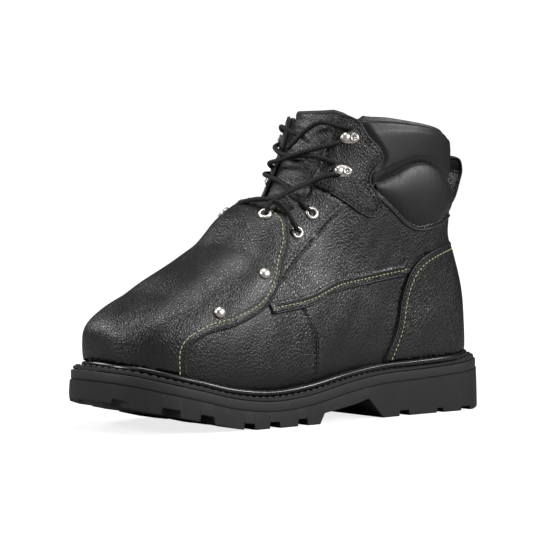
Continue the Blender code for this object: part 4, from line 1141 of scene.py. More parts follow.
@dataclass
class Upper:
    """The drawn leather body, with its panels, seams and stitches; each panel by its outer face's lift."""

    skin: Skin
    quarter: float = 1.9
    eyestay: float = 2.4
    patch: float = 3.0
    counter: float = 2.6
    guard_thickness: float = 3.0
    cream: StitchRun = field(default_factory=lambda: StitchRun("cream_stitches", Looks.CREAM_THREAD))
    black: StitchRun = field(
        default_factory=lambda: StitchRun("black_stitches", Looks.BLACK_THREAD, radius=0.34))

    def body(self) -> None:
        """The vamp and shaft as one hollow wall."""
        trim = trimmed(Skin(0.75), lambda p: np.maximum.reduce(
            [throat_distance(p), floor_distance(p, 0.0), top_distance(p, COLLAR_COVER)]), flat(0.0))
        sheet_piece("upper_leather", trim, flat(-WALL), flat(0.0), Looks.LEATHER, ["upper"],
                    lambda p: 0.25 * wobble(p, 14.0, 1.0), 0.2, Looks.LINING)

    def guard_top(self, p: Array) -> Array:
        """Lift of the guard's outer face."""
        return guard_lift(p) + self.guard_thickness

    def seam_troughs(self, edge: Array, rows: Sequence[float]) -> Array:
        """Extra lift from the distance to an edge: a trough 0.28 mm deep under each row of stitches."""
        return sum(-0.28 * bump_at(edge + row, 1.1) for row in rows)

    def sew(self, side: Side, run: StitchRun, lift: Lift, outline: Outline, inset: float,
            span: tuple = (-math.inf, math.inf), rise: float = SEWN_RISE) -> None:
        """A row of stitches along an outline's edge.

        Args:
            side: The side of the boot.
            run: Takes the stitches.
            lift: The leather's outer face.
            outline: The outline.
            inset: Distance from its edge.
            span: Where the row starts and ends along the sole.
            rise: Its least height over the feather.
        """
        line = outline.inset(inset)
        line = line[above_feather(line, rise) & (line[:, 0] > span[0]) & (line[:, 0] < span[1])]
        run.row(*seam_on_side(line, side, lambda p: lift(p) + THREAD_LIFT))

    def guard(self) -> None:
        """The metatarsal guard: a thick flap with a stitched edge, rivets' dimples and a soft toe crease."""
        trim = trimmed(self.skin, lambda p: np.maximum(GUARD.distance(p), floor_distance(p, BEAD_COVER)),
                       self.guard_top)

        def shape(p: Array) -> Array:
            """Troughs along the edge, a dimple 0.5 mm deep round each rivet, the crease, and waviness."""
            outside = p + LAST.normals(p) * self.guard_top(p)[:, None]
            lift = self.seam_troughs(GUARD.distance(outside), (1.3, 4.4))
            crease = bump_at(p[:, 1] - 47.0 - 0.12 * (p[:, 2] - 80.0), 7.0) * step_up((p[:, 2] - 62.0) / 20.0)
            for s, z in RIVETS:
                lift -= 0.5 * bump_at(np.hypot(p[:, 1] - s, p[:, 2] - z), 6.0)
            return lift - 0.7 * crease + 0.35 * wobble(p, 16.0, 2.2)

        sheet_piece("guard_leather", trim, guard_lift, self.guard_top, Looks.LEATHER, ["metatarsal_guard"],
                    shape)
        for side in Side:
            for inset, run in ((4.4, self.cream), (1.3, self.black)):
                self.sew(side, run, self.guard_top, GUARD, inset, rise=GUARD_SEWN_RISE)

    def side_panels(self, side: Side) -> None:
        """Quarter, eyestay and hook patch of one side, each trimmed by the pieces that lie over it."""

        def beyond(p: Array) -> Array:
            """Positive past the boot's middle plane."""
            return 0.4 - side.value * p[..., 0]

        def patch(p: Array) -> Array:
            """Signed distance of the hook patch."""
            return np.maximum.reduce([PATCH.distance(p), throat_distance(p), top_distance(p, 0.0), beyond(p)])

        def eyestay(p: Array) -> Array:
            """Signed distance of the eyestay."""
            return np.maximum.reduce([EYESTAY.distance(p), throat_distance(p), 0.25 - PATCH.distance(p),
                                      beyond(p)])

        def quarter(p: Array) -> Array:
            """Signed distance of the quarter."""
            return np.maximum.reduce([QUARTER.distance(p), throat_distance(p), -0.6 - PATCH.distance(p),
                                      -0.6 - EYESTAY.distance(p), -2.0 - CUSHION_FLOOR.distance(p),
                                      -0.6 - COUNTER.distance(p), beyond(p)])

        for name, outline, distance, lift, look, rows, size in (
                ("hook_patch", PATCH, patch, self.patch, Looks.SOFT_LEATHER, (1.2, 3.6), 0.35),
                ("eyestay", EYESTAY, eyestay, self.eyestay, Looks.LEATHER, (1.3, 4.0), 0.25),
                ("quarter", QUARTER, quarter, self.quarter, Looks.LEATHER, (1.4, 3.4, 7.2), 0.25)):

            def shape(p: Array) -> Array:
                """Waviness and troughs; the quarter also has a ridge, and its seam fades at the back."""
                edge = outline.distance(p)
                sewn = step_up((231.0 - p[:, 1]) / 5.0) if name == "quarter" else 1.0
                ridge = 0.5 * bump_at(edge + 5.5, 1.6) if name == "quarter" else 0.0
                return size * wobble(p, 9.0, lift) + sewn * (self.seam_troughs(edge, rows) + ridge)

            node = f"{name}_{side.word}"
            trim = trimmed(self.skin, distance, flat(lift))
            sheet_piece(f"{node}_leather", trim, flat(-0.1), flat(lift), look, [node], shape)
        for outline, insets, lift, run, span in (
                (PATCH, (1.2, 3.6), self.patch, self.black, (0, 300)),
                (EYESTAY, (1.3, 4.0), self.eyestay, self.black, (112, 184)),
                (QUARTER, (1.4, 7.2), self.quarter, self.black, (112, 229)),
                (QUARTER, (3.4,), self.quarter, self.cream, (112, 229))):
            for inset in insets:
                self.sew(side, run, flat(lift), outline, inset, span)
        for shift in (-1.6, 1.6):
            line = curve(SIDE_SEAM, 2.0) + (shift, 0.0)
            self.black.row(*seam_on_side(line[above_feather(line, SEWN_RISE)], side, flat(0.15)))

    def edge_rolls(self, side: Side) -> None:
        """Rounded rolls along the cut edges and under the ankle pad: cords sunk half into the leather."""
        for name, line, lift, radius, low, high in (
                ("guard_edge", GUARD.inset(0.5), lambda p: guard_lift(p) + 0.5 * self.guard_thickness, 1.45,
                 -99, 134.2),
                ("hook_patch_edge", PATCH.inset(0.4), flat(2.4), 0.75, 168, 300),
                ("eyestay_edge", EYESTAY.inset(0.3), flat(1.9), 0.6, 116, 186),
                ("quarter_edge", QUARTER.inset(0.3), flat(1.4), 0.7, 112, 229),
                ("counter_edge", COUNTER.inset(0.4), flat(2.0), 0.8, -99, 284),
                ("side_seam", curve(SIDE_SEAM, 2.0), flat(-0.1), 0.7, -99, 300),
                ("ankle_pad_piping", CUSHION_FLOOR.inset(-1.3), flat(1.9), 1.0, 202, 284)):
            keep = (line[:, 0] > low) & (line[:, 0] < high) & above_feather(line, ROLL_RISE)
            points, _ = seam_on_side(line[keep], side, lift)
            look = Looks.CUT_EDGE if name == "guard_edge" else Looks.SATIN
            tube(f"{name}_{side.word}_roll", even(points, 1.2), radius, look)

    def heel(self) -> None:
        """The counter, wrapped round the heel, and the strip over the back seam."""
        trim = trimmed(self.skin, lambda p: np.maximum(COUNTER.distance(p), floor_distance(p, BEAD_COVER)),
                       flat(self.counter))
        sheet_piece("heel_counter_leather", trim, flat(-0.1), flat(self.counter), Looks.LEATHER,
                    ["heel_counter"],
                    lambda p: self.seam_troughs(COUNTER.distance(p), (1.4, 4.2)) + 0.3 * wobble(p, 15.0, 4.0))
        strip = trimmed(self.skin, lambda p: np.maximum.reduce(
            [np.abs(p[..., 0]) - 7.0, 112.0 - p[..., 2], p[..., 2] - 135.0, 250.0 - p[..., 1]]), flat(3.7))
        sheet_piece("back_strip_leather", strip, flat(0.0), flat(3.7), Looks.SOFT_LEATHER, ["back_strip"])
        for side in Side:
            for inset, run in ((1.4, self.black), (4.2, self.cream), (5.8, self.black)):
                self.sew(side, run, flat(self.counter), COUNTER, inset, (-math.inf, 284))


@dataclass
class Cushions:
    """The padded collar and the ankle pad, as rings from one end to the other; a share runs from -1 to 1."""

    RINGS, PAD_FRONT = 260, 36
    collar_puff: float = 3.9
    pad_puff: float = 4.6

    def tucks(self, angle: Array, from_seam: Array) -> Array:
        """Small gathers that run off a seam: two sines of the angle, times exp(-distance / 4 mm)."""
        ripple = np.sin(angle * 46.0 + 1.2 * np.sin(angle * 9.0)) + 0.5 * np.sin(angle * 83.0)
        return 0.14 * ripple * np.exp(-np.maximum(from_seam, 0.0) / 4.0)

    def cushion(self, name: str, points: Array, node: str) -> None:
        """A closed cushion.

        Args:
            name: The piece's name.
            points: Its rings, each end of which is closed on its middle.
            node: The solid that it stands for.
        """
        rows, count = points.shape[:2]
        ends = np.array([points[0].mean(0), points[-1].mean(0)])
        j = np.arange(count)
        fan = np.column_stack([j, (j + 1) % count, np.full(count, rows * count)])
        caps = np.vstack([fan[:, ::-1], fan + (rows - 1) * count * np.array([1, 1, 0]) + np.array([0, 0, 1])])
        made = piece(name, np.vstack([points.reshape(-1, 3), ends]), [grid_faces(rows, count), caps],
                     [Looks.SATIN], nodes=[node], crease=75.0)

    def collar(self) -> None:
        """The collar roll: a rounded profile from its seam, over the top edge, and down inside.

        The profile's rows are a share of the height between the two lines, and a lift. The roll is thinner at
        the back, and both of its ends are lower and flatter.
        """
        share = np.linspace(-1.0, 1.0, self.RINGS)[:, None]
        profile = curve(((0.0, 0.3), (0.06, 1.6), (0.16, 2.9), (0.38, self.collar_puff),
                         (0.65, self.collar_puff), (0.86, 3.2), (0.97, 0.9), (1.0, -1.4), (0.97, -3.8),
                         (0.85, -6.2), (0.5, -6.6), (0.22, -5.6), (0.1, -WALL - 0.7)), 0.16)
        height, lift = profile.T
        front_z, front_s = COLLAR_FRONT
        end = step_up((1.0 - np.abs(share)) / 0.04)
        z = np.full((len(share), len(height)), 170.0)
        for _ in range(4):
            angle = share * (np.arctan2(SHAFT_HALF, smooth(z, front_z, front_s) - SHAFT_AXIS) - 0.012)
            low = line_height(COLLAR_SEAM, angle) + 0.3
            high = line_height(TOP_LINE, angle) - 4.0 * (1.0 - end) ** 2
            z = low + (high - low) * height
        from_seam = (z - low) * (lift > 0)
        rear = 1.0 - 0.6 * step_up((1.75 - np.abs(angle)) / 0.7)
        puff = lift * rear + np.where(lift > 0.2, self.tucks(angle, from_seam), 0.0)
        puff = np.where(lift > 0, puff * (0.45 + 0.55 * end), puff)
        self.cushion("collar_roll", shaft_places(angle, z, puff), "collar")

    def ankle_pad(self) -> None:
        """The ankle pad: pointed at both ends, puffed as sin(pi * share of height)^0.55."""
        share = np.linspace(-1.0, 1.0, self.RINGS)[:, None]
        end = math.atan2(SHAFT_HALF, 201.0 - SHAFT_AXIS)
        height = np.concatenate([np.linspace(0.0, 1.0, self.PAD_FRONT), np.linspace(1.0, 0.0, 8)[1:-1]])
        front = np.arange(len(height)) < self.PAD_FRONT
        rise = np.where(front, np.sin(math.pi * np.clip(height, 0, 1)) ** 0.55, 0.0)
        angle = np.broadcast_to(share * end, (len(share), len(height)))
        high = line_height(COLLAR_SEAM, angle) - 0.3
        tall = np.maximum(high - line_height(PAD_EDGE, angle) - 0.3, 0.8)
        puff = self.pad_puff * np.minimum(1.0, tall / 30.0) ** 0.6
        z = high - tall * (1.0 - height)
        near = np.minimum(z - (high - tall), high - z)
        lift = 0.4 + puff * rise + self.tucks(angle, near) * rise * np.minimum(1.0, tall / 12.0)
        lift = np.where(front, lift, 0.1)
        self.cushion("ankle_cushion", shaft_places(angle, z, lift), "ankle_pad")

    def make(self) -> None:
        """Both cushions."""
        self.collar()
        self.ankle_pad()


@dataclass
class Tongue:
    """The tongue: a soft sheet behind the lace opening, bound at its top edge.

    ACROSS is the number of points on each of its faces, and BOUND the rings that the binding covers.
    """

    ACROSS, BOUND = 60, 9
    thickness: float = 3.4
    lift: float = -2.9

    def make(self) -> None:
        """Sheet and binding."""
        z = curve(TONGUE[0][:, None], 1.2)
        half = smooth(z, *TONGUE)
        front = SHAFT_AXIS - smooth(z * 100 / SHAFT_HEIGHT, SHAFT["z"], SHAFT["front"]) * SOLE_LENGTH / 100
        share = np.linspace(-1.0, 1.0, self.ACROSS)
        across = np.concatenate([share, share[::-1]])
        angle = math.pi - across * np.arctan2(half, front * 0.86)
        outer = np.arange(len(across)) < self.ACROSS
        base = shaft_places(angle, z, np.zeros_like(angle))
        folds = 0.5 * wobble(base, 7.0, 5.0) + 0.35 * np.sin(z * 0.9 + 1.5 * np.sin(across * 3.0))
        edge = 1.0 - np.abs(across) ** 6
        lift = np.where(outer, self.lift + folds * edge * 0.6, self.lift - self.thickness)
        points = base + LAST.normals(base) * lift[..., None]
        loft("tongue_leather", points, Looks.SOFT_LEATHER, ["tongue"], 70.0, flipped=True)
        rims = []
        for face in (points[:, :self.ACROSS], points[:, self.ACROSS:][:, ::-1]):
            bound = face[-self.BOUND:-1]
            rims.append(np.vstack([bound[:, 0], face[-1], bound[::-1, -1]]))
        tube("tongue_binding", even(0.5 * (rims[0] + rims[1]), 1.5), 2.1, Looks.CUT_EDGE)


@dataclass
class Sole:
    """Outsole, midsole band, welt with its lockstitches, and the glossy bead.

    TOE and HEEL are the lengths of the outline's round ends, with the power n of their curve.
    """

    TOE, HEEL = (52.0, 2.3), (41.0, 2.2)
    flare: float = 1.2

    def half(self, s: Array, side: str, inset: float) -> Array:
        """Half-width of the outline on a side: its table's, times (1 - t^n)^(1/n) at both round ends.

        Args:
            s: Places along the sole.
            side: The side, as a column of the table.
            inset: Distance inside the outline.

        Returns:
            A half-width per place.
        """
        half = smooth(s, SOLE["s"], SOLE[side]) - inset
        (toe_length, toe_power), (heel_length, heel_power) = self.TOE, self.HEEL
        toe = np.clip((toe_length - s) / (toe_length - self.flare - inset), 0.0, 1.0)
        heel = np.clip((s - SOLE_LENGTH + heel_length) / (heel_length - self.flare - inset), 0.0, 1.0)
        return half * (1.0 - toe**toe_power) ** (1 / toe_power) * (1.0 - heel**heel_power) ** (1 / heel_power)

    def stations(self, inset: float) -> Array:
        """Places along the sole: closer at the ends, and in pairs at each notch's sides."""
        low, high = self.flare + inset, SOLE_LENGTH - self.flare - inset
        turn = np.linspace(0.0, math.pi, 260)
        plain = low + (high - low) * 0.5 * (1.0 - np.cos(turn))
        fill = np.arange(low + 20.0, high - 20.0, 1.5)
        extra = np.array([v for a, b, _ in EDGE_NOTCHES for v in (a - 0.2, a + 0.35, b - 0.35, b + 0.2)])
        breast = np.array([145.0, 149.0, 190.0, 204.0, 292.0])
        every = np.unique(np.round(np.concatenate([plain, fill, extra, breast]), 3))
        every = every[(every >= low) & (every <= high)]
        return every[np.concatenate([[True], np.diff(every) > 0.12])]

    def slab(self, name: str, low: Callable, high: Callable, levels: Sequence[tuple], look: Looks,
             nodes: Sequence[str]) -> None:
        """A layer of the sole with flat faces.

        Args:
            name: The piece's name.
            low: Height of its lower face along the sole.
            high: Height of its upper face.
            levels: Profile of its side, as (share of height, inset) rows.
            look: Its finish.
            nodes: Solids that it stands for.
        """
        s = self.stations(min(inset for _, inset in levels))[:, None]
        share, inset = np.array(levels, float).T
        z = low(s) + (high(s) - low(s)) * share
        shrink = 1.0 - 2.0 * np.maximum(inset, 0.0) / SOLE_LENGTH
        place = 0.5 * SOLE_LENGTH + (s - 0.5 * SOLE_LENGTH) * shrink
        sides = []
        for side in Side:
            half = self.half(s, side.word, 0.0)
            sides.append(np.stack([side.value * (half - inset * np.sign(half)), place, z], -1))
        loft(name, np.concatenate([sides[0], sides[1][:, ::-1]], axis=1), look, nodes, 35.0)

    def tread(self, s: Array, x: Array, half: Array) -> Array:
        """Height of the tread: its line, edge notches, a sunk field with crossed cleats, and a sunk heel.

        Args:
            s: Places along the sole.
            x: Places across it.
            half: The sole's half-width there.

        Returns:
            A height per place.
        """
        height = np.interp(s, *TREAD) + 0.0 * x
        edge = half - np.abs(x)
        for start, end, depth in EDGE_NOTCHES:
            within = step_up((s - start) / 0.5 + 0.5) * step_up((end - s) / 0.5 + 0.5)
            height = height + depth * (within * step_up((15.0 - edge) / 1.0))
        field = step_up((s - 54.0) / 1.5) * step_up((140.0 - s) / 1.5) * step_up((edge - 19.0) / 1.5)
        for middle in (64.0, 86.0, 108.0, 130.0):
            along, across = np.abs(s - middle), np.abs(x)
            arm = np.maximum(step_up((3.9 - along) / 0.8) * step_up((13.4 - across) / 0.8),
                             step_up((13.4 - along) / 0.8) * step_up((3.9 - across) / 0.8))
            field = field * (1.0 - arm)
        heel = step_up((s - 222.0) / 1.5) * step_up((292.0 - s) / 1.5) * step_up((edge - 17.0) / 1.5)
        return height + 4.0 * np.maximum(field, heel)

    def outsole(self) -> None:
        """The tread as a height over its outline, with a slightly flared and ribbed side."""
        s = self.stations(-self.flare)[:, None]
        lateral, medial = self.half(s, "lateral", -self.flare), self.half(s, "medial", -self.flare)
        share = np.linspace(-1.0, 1.0, 71)
        half = np.where(share > 0, lateral, medial)
        x = share * half
        top = sole_top(s) - BAND_THICKNESS - 0.3
        bottom = np.minimum(self.tread(s, x, half), top - 1.0)
        under = np.stack([x, np.broadcast_to(s, x.shape), bottom], -1)
        level = np.array([0.04, 0.12, 0.3, 0.5, 0.7, 0.86, 0.94, 1.0])
        draw = np.array([-0.1, 0.0, 0.1, 0.3, 0.55, 0.8, 0.95, 1.05])
        walls = []
        for sign, edge, foot in ((1.0, lateral, bottom[:, -1:]), (-1.0, medial, bottom[:, :1])):
            z = foot + (top - foot) * level
            out = np.maximum(edge - draw * np.minimum(1.0, edge / 8.0), 0.0)
            walls.append(np.stack([sign * out, np.broadcast_to(s, z.shape), z], -1))
        rings = np.concatenate([under, walls[0], walls[1][:, ::-1]], axis=1)
        loft("outsole_rubber", rings, Looks.RUBBER, ["outsole"], 32.0, flipped=True)

    def outline_path(self, inset: float, height: Callable, step: float) -> Array:
        """A closed path round the sole.

        Args:
            inset: Its distance inside the outline.
            height: Its height along the sole.
            step: Distance between its points.

        Returns:
            The path's points.
        """
        s = self.stations(0.0)
        lateral = np.stack([self.half(s, "lateral", 0.0), s, height(s)], -1)
        medial = np.stack([-self.half(s, "medial", 0.0), s, height(s)], -1)[::-1]
        loop = np.vstack([lateral, medial[1:-1]])
        along = unit(np.roll(loop, -1, axis=0) - np.roll(loop, 1, axis=0))
        out = np.cross(along, (0.0, 0.0, 1.0))
        sign = np.sign((out * (loop - (0.0, 0.5 * SOLE_LENGTH, 0.0))).sum())
        loop = loop - out * sign * inset
        return even(np.vstack([loop, loop[:1]]), step)[:-1]

    def make(self) -> None:
        """All parts of the sole."""
        self.outsole()
        edge = ((0.0, 0.2), (0.06, 0.05), (0.2, 0.0), (0.86, 0.0), (0.95, 0.12), (1.0, 0.5))
        self.slab("midsole_band", lambda s: sole_top(s) - BAND_THICKNESS, sole_top, edge, Looks.BAND,
                  ["midsole"])
        rim = ((0.0, 1.6), (0.2, 1.0), (0.8, 1.0), (1.0, 1.8))
        self.slab("welt_strip", lambda s: sole_top(s) + 0.1, lambda s: sole_top(s) + WELT_THICKNESS, rim,
                  Looks.CUT_EDGE, ["welt"])
        self.bead()
        path = self.outline_path(3.4, lambda s: sole_top(s) + WELT_THICKNESS, 2.0)
        run = StitchRun("welt_lockstitches", Looks.BLACK_THREAD, length=4.2, gap=1.1, radius=0.65)
        run.row(path, np.tile([0.0, 0.0, 1.0], (len(path), 1)))
        run.made()

    def bead(self) -> None:
        """The bead: a round cord on the welt, against the leather, all round the boot."""
        turn = np.linspace(0.0, 2.0 * math.pi, 1200, endpoint=False)
        s = 155.0 - 143.0 * np.cos(turn)
        ends = np.minimum(1.0, 3.0 * np.abs(np.sin(turn)))
        x = ends * np.where(turn < math.pi, self.half(s, "lateral", 6.0), -self.half(s, "medial", 6.0))
        z = feather(s) + 2.0 * BEAD_RADIUS
        axis = np.clip(s, 70.0, 255.0)
        start = np.column_stack([np.zeros_like(s), axis, z])
        places = LAST.cast(start, unit(np.column_stack([x, s - axis, np.zeros_like(s)])))
        out = LAST.normals(places)
        out[:, 2] = 0.0
        path = places + unit(out) * (BEAD_RADIUS + 0.9)
        path[:, 2] -= BEAD_RADIUS - 0.1
        path = even(np.vstack([path, path[:1]]), 2.0)[:-1]
        tube("welt_bead_gloss", path, BEAD_RADIUS, Looks.BEAD, ["welt_bead"], around=20, closed=True)


@dataclass
class Hardware:
    """Steel eyelets, rivets and lace hooks, seated on the leather that carries them."""

    AROUND = 40
    upper: Upper

    def turned(self, name: str, profile: Sequence[Sequence[float]], place: Array, normal: Array,
               nodes: Sequence[str] = ()) -> None:
        """A round piece.

        Args:
            name: Its name.
            profile: Its (radius, height) rows, which are turned about the normal.
            place: Where it sits.
            normal: The leather's normal there.
            nodes: Solids that it stands for.
        """
        rows = curve(profile, 0.22)
        turn = np.linspace(0.0, 2.0 * math.pi, self.AROUND, endpoint=False)
        up = unit(np.array([0.0, 0.0, 1.0]) - normal * normal[2])
        ring = np.cross(up, normal) * np.cos(turn)[:, None] + up * np.sin(turn)[:, None]
        points = place + ring * rows[:, :1, None] + normal * rows[:, 1:, None]
        piece(name, points.reshape(-1, 3), [grid_faces(len(rows), self.AROUND)[:, ::-1]], [Looks.STEEL],
              nodes=nodes, crease=60.0)

    def hook(self, name: str, place: Array, normal: Array, node: str) -> None:
        """A lace hook: a plate with round ends, a roller for the lace at its front, a rivet at its rear.

        Args:
            name: The plate's name.
            place: Where it sits.
            normal: The leather's normal there.
            node: The solid that it stands for.
        """
        up = unit(np.array([0.0, 0.0, 1.0]) - normal * normal[2])
        along = np.cross(up, normal)
        along *= 1.0 if along[1] > 0 else -1.0
        turn = np.linspace(0.0, 2.0 * math.pi, 48, endpoint=False)
        levels = np.array(((0.9, 0.0), (1.0, 0.3), (1.0, 0.8), (0.9, 1.1), (0.05, 1.15)))[:, :, None, None]
        spread = (np.abs(np.cos(turn)) ** 0.8 * np.sign(np.cos(turn)))[:, None]
        plate = (place + along * (1.3 + 6.1 * spread * levels[:, 0])
                 + up * (3.7 * np.sin(turn)[:, None] * levels[:, 0]) + normal * levels[:, 1])
        piece(name, plate.reshape(-1, 3), [grid_faces(5, 48)], [Looks.STEEL], nodes=[node], crease=48.0)
        ring = ((0.02, 1.7), (0.9, 1.5), (1.2, 1.2), (1.5, 2.1), (2.2, 2.3), (2.8, 1.8), (3.0, 1.0))
        roller = ((0.02, 4.6), (1.2, 4.5), (2.4, 4.0), (3.0, 3.1), (2.6, 2.5), (1.7, 2.2), (1.6, 1.0))
        self.turned(name + "_rivet", ring, place + along * 4.1, normal)
        self.turned(name + "_roller", roller, place - along * 1.7, normal)

    def row(self, name: str, spots: Sequence[Sequence[float]], side: Side, lift: Lift,
            profile: Optional[Sequence[Sequence[float]]] = None) -> None:
        """Numbered pieces of one kind on a side.

        Args:
            name: Name of the solids that they stand for, without their number.
            spots: Their (s, z) places.
            side: The side of the boot.
            lift: The leather's outer face.
            profile: What is turned, or None for lace hooks.
        """
        for number, (place, normal) in enumerate(zip(*seam_on_side(np.array(spots, float), side, lift)), 1):
            node = f"{name}_{number}"
            if profile:
                self.turned(f"{node}_steel", profile, place, normal, [node])
            else:
                self.hook(f"{node}_steel", place, normal, node)

    def make(self) -> None:
        """All hardware of both sides."""
        eyelet = ((2.2, -0.6), (2.25, 0.7), (2.8, 1.4), (3.5, 1.45), (4.2, 1.0), (4.5, 0.0))
        rivet = ((0.02, 2.8), (1.4, 2.6), (2.7, 2.0), (3.6, 1.0), (3.9, -0.4))
        for side in Side:
            word = side.word
            self.row(f"eyelet_{word}", EYELETS, side, flat(self.upper.eyestay), eyelet)
            start = np.array([[0.0, 148.0, 104.0]])
            aim = unit(np.array([GUARD_EYELETS[side]], float) - start)
            places, normals = LAST.lifted(start, aim, self.upper.guard_top)
            self.turned(f"guard_eyelet_{word}_steel", eyelet, places[0], normals[0], [f"guard_eyelet_{word}"])
            self.row(f"guard_rivet_{word}", RIVETS, side, self.upper.guard_top, rivet)
            self.row(f"lace_hook_{word}", HOOKS, side, flat(self.upper.patch))


@dataclass
class Laces:
    """The round lace: strands over the tongue and the guard, and its two tucked ends."""

    radius: float = 1.6
    strands: dict = field(default_factory=lambda: {
        "lace_cross_upper_a": ((-28, 177.5, 5.6), (-19, 174, 5.0), (-11, 171, 2.0), (0, 169.8, 1.0),
                               (10, 169.3, 1.8), (20, 168.0, 5.0), (28, 164.0, 5.6)),
        "lace_cross_upper_b": ((-28, 161.5, 5.6), (-18, 163.8, 5.0), (-5, 166, 3.2), (8, 168.8, 4.6),
                               (19.6, 173, 5.8), (28, 178.0, 5.6)),
        "lace_cross_lower": ((-28, 157.8, 5.6), (-18, 156, 5.0), (-9, 155, 2.0), (3, 152.5, 1.4),
                             (12, 147.5, 2.0), (17.5, 148.0, 144.6, None), (22.6, 150.3, 141.2, None),
                             (27.2, 152.6, 137.0, None), (29.6, 155.0, 133.4, None)),
        "lace_to_guard": ((30, 157.5, 5.4), (27, 156.5, 5.8), (25.4, 157, 153.0, None),
                          (24.8, 148, 149.8, None), (24.4, 139, 146.4, None), (25.2, 131, 143.0, None),
                          (24.6, 126.0, 140.0, None), (23.2, 123.6, 134.5, None)),
        "lace_over_guard": ((33.4, 141.5, 121.5, None), (33.6, 138.0, 126.5, None),
                            (31.8, 135.5, 132.5, None), (28.8, 132.0, 138.5, None), (25, 127.5, 141.6, None),
                            (17, 123.0, 142.2, None), (8, 123.0, 141.4, None), (-2, 124.0, 139.8, None),
                            (-9, 126.0, 137.2, None), (-15.0, 127.5, 133.0, None)),
    })
    lateral_end: tuple = ((31, 187.0, 5.2), (27, 187.8, 5.2), (17, 190, 5.2), (9.3, 185, 4.0),
                          (4, 178, 4.4), (0, 172.0, 5.6))
    medial_end: tuple = ((-30, 186.5, 5.2), (-27, 187, 5.2), (-23, 188.5, 5.2), (-14, 187, 1.2),
                         (-3, 184.8, -0.4), (2, 183.4, -0.6))

    def route(self, rows: Sequence[Sequence[float]], step: float = 1.2) -> Array:
        """A strand's centreline.

        Args:
            rows: Points as (x, z, lift) over the shaft's front, or as (x, s, z, None) in the open.
            step: Distance between the points that it returns.

        Returns:
            The centreline's points.
        """
        out = []
        for row in rows:
            if len(row) == 4:
                out.append(row[:3])
                continue
            start = np.array([[row[0], SHAFT_AXIS, row[1]]], float)
            place = LAST.cast(start, np.array([[0.0, -1.0, 0.0]]), 110.0)
            out.append((place + LAST.normals(place) * row[2])[0])
        return even(curve(np.array(out, float), step * 0.5), step)

    def make(self) -> None:
        """Every strand and the two ends."""
        nodes = {"lace_cross_upper_a": ["lace_cross_upper"], "lace_cross_lower": ["lace_cross_lower"],
                 "lace_to_guard": ["lace_at_guard"]}
        for name, rows in self.strands.items():
            tube(name + "_braid", self.route(rows), self.radius, Looks.LACE, nodes.get(name, []), around=16)
        for name, rows in (("lateral", self.lateral_end), ("medial", self.medial_end)):
            path = self.route(rows)
            made = tube(f"lace_end_{name}_braid", path, self.radius, Looks.LACE, [f"lace_end_{name}"],
                        around=16)


@dataclass
class Inside:
    """The insole and the pull loop, whose strap is a line of (s, z) points."""

    strap: tuple = ((288.2, 169.5), (297.0, 170.3), (303.6, 168.4), (305.4, 163.0), (303.0, 153.0),
                    (296.6, 139.5), (288.4, 133.5))
    half: float = 8.0

    def make(self) -> None:
        """Insole finish and the strap at the back."""
        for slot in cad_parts["insole"].material_slots:
            slot.material = Looks.LINING.made()
        path = curve(self.strap, 0.8)
        along = unit(np.gradient(path, axis=0))
        side = np.column_stack([along[:, 1], -along[:, 0]])
        across = np.linspace(-self.half, self.half, 24)
        thick = (0.9 * (1.0 - np.abs(across / self.half) ** 8 * 0.6)
                 + 0.25 * bump_at(np.abs(across) - 5.6, 0.9))
        faces = []
        for sign in (1.0, -1.0):
            rim = path[:, None] + side[:, None] * (sign * thick)[:, None]
            faces.append(np.concatenate([np.broadcast_to(across[:, None], rim.shape[:2] + (1,)), rim], -1))
        rings = np.concatenate([faces[0], faces[1][:, ::-1]], axis=1)
        loft("pull_loop_strap", rings, Looks.SOFT_LEATHER, ["pull_loop"], 60.0)


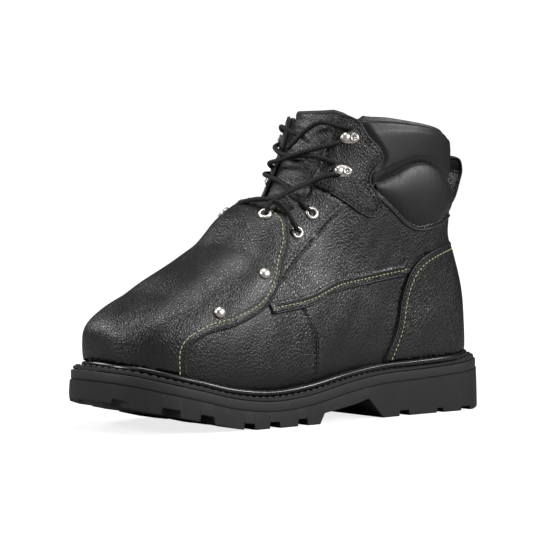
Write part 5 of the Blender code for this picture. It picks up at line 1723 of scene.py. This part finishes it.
@dataclass
class Studio:
    """A plain pale floor, soft light and the camera at the photograph's angle.

    The shift is in pixels of the photograph. A light is (name, azimuth, elevation, distance, size, power).
    """

    SENSOR, FLOOR_REACH = 36.0, 6.0
    WHITE = (1.0, 1.0, 1.0, 1.0)
    LIGHTS = (("key", -5.0, 24.0, 1.4, (0.30, 0.34), 11.0),
              ("low_side", 100.0, 20.0, 1.5, (0.28, 0.28), 8.0),
              ("side", 130.0, 28.0, 1.5, (0.45, 0.38), 15.0),
              ("top", 60.0, 78.0, 1.5, (0.8, 0.4), 16.0),
              ("far", -60.0, 35.0, 1.6, (0.6, 0.5), 10.0))
    azimuth: float = 51.9
    elevation: float = 2.25
    distance: float = 1.5094
    focal_pixels: float = 2319.2
    target: tuple = (0.0, 0.0, 0.090)
    shift: tuple = (13.64, 9.05)
    ambient: float = 0.035

    def direction(self, azimuth: float, elevation: float) -> Array:
        """From the boot towards an azimuth and elevation in degrees."""
        a, e = math.radians(azimuth), math.radians(elevation)
        return np.array([math.sin(a) * math.cos(e), -math.cos(a) * math.cos(e), math.sin(e)])

    def aim(self, thing: bpy.types.Object, place: Array) -> None:
        """Puts a light or camera at a place, looking at the target."""
        thing.location = place
        thing.rotation_euler = (Vector(self.target) - Vector(place)).to_track_quat("-Z", "Y").to_euler()
        bpy.context.scene.collection.objects.link(thing)

    def camera(self) -> None:
        """The camera, with the small shift of the photograph's framing."""
        data = bpy.data.cameras.new("camera")
        data.sensor_width = self.SENSOR
        data.lens = self.SENSOR * self.focal_pixels / PICTURE
        data.shift_x, data.shift_y = -self.shift[0] / PICTURE, self.shift[1] / PICTURE
        camera = bpy.data.objects.new("camera", data)
        place = np.array(self.target) + self.direction(self.azimuth, self.elevation) * self.distance
        self.aim(camera, place)
        bpy.context.scene.camera = camera

    def light(self, name: str, azimuth: float, elevation: float, far: float, size: tuple,
              power: float) -> None:
        """One rectangular soft light, which looks at the target.

        Args:
            name: Its name.
            azimuth: Its direction round the boot, in degrees.
            elevation: Its direction upwards, in degrees.
            far: Its distance in metres.
            size: Its two sides in metres.
            power: Its power in watts.
        """
        data = bpy.data.lights.new(name, "AREA")
        data.shape = "RECTANGLE"
        data.size, data.size_y = size
        data.energy = power
        place = np.array(self.target) + self.direction(azimuth, elevation) * far
        self.aim(bpy.data.objects.new(name, data), place)

    def floor(self) -> None:
        """A wide flat pale floor that glows towards the camera only, so it stays pale in soft light."""
        mesh = bpy.data.meshes.new("floor")
        reach = self.FLOOR_REACH
        corners = [(-reach, -reach, 0), (reach, -reach, 0), (reach, reach, 0), (-reach, reach, 0)]
        mesh.from_pydata(corners, [], [(0, 1, 2, 3)])
        material, kit, shader, place = Finish("pale_floor", (0.30, 0.30, 0.30), 0.9, specular=0.0).begin()
        shader.inputs["Emission Color"].default_value = self.WHITE
        far = kit.add("ShaderNodeVectorMath", operation="LENGTH", I0=place).outputs["Value"]
        glow = kit.ranged(far, 0.15, 1.0, 0.80, 1.1)
        seen = kit.add("ShaderNodeLightPath").outputs["Is Camera Ray"]
        kit.link(kit.math("MULTIPLY", glow, seen), shader.inputs["Emission Strength"])
        mesh.materials.append(material)
        floor = bpy.data.objects.new("floor", mesh)
        bpy.context.scene.collection.objects.link(floor)

    def make(self) -> None:
        """Everything round the boot."""
        scene = bpy.context.scene
        scene.view_settings.view_transform = "Standard"
        world = bpy.data.worlds.new("studio")
        world.use_nodes = True
        kit = Kit(world.node_tree)
        background = world.node_tree.nodes["Background"]
        background.inputs["Color"].default_value = self.WHITE
        seen = kit.add("ShaderNodeLightPath").outputs["Is Camera Ray"]
        kit.link(kit.ranged(seen, 0.0, 1.0, self.ambient, 1.05), background.inputs["Strength"])
        scene.world = world
        self.floor()
        self.camera()
        for row in self.LIGHTS:
            self.light(*row)


def main() -> None:
    """Builds the boot, then the studio round it."""
    logging.basicConfig(level=logging.INFO, format="%(name)s: %(message)s")
    Studio().make()
    skin = Skin()
    upper = Upper(skin)
    Laces().make()
    upper.body()
    upper.guard()
    for side in Side:
        upper.side_panels(side)
        upper.edge_rolls(side)
    upper.heel()
    Cushions().make()
    Tongue().make()
    Sole().make()
    Hardware(upper).make()
    Inside().make()
    upper.cream.made()
    upper.black.made()


if __name__ == "__main__":
    main()
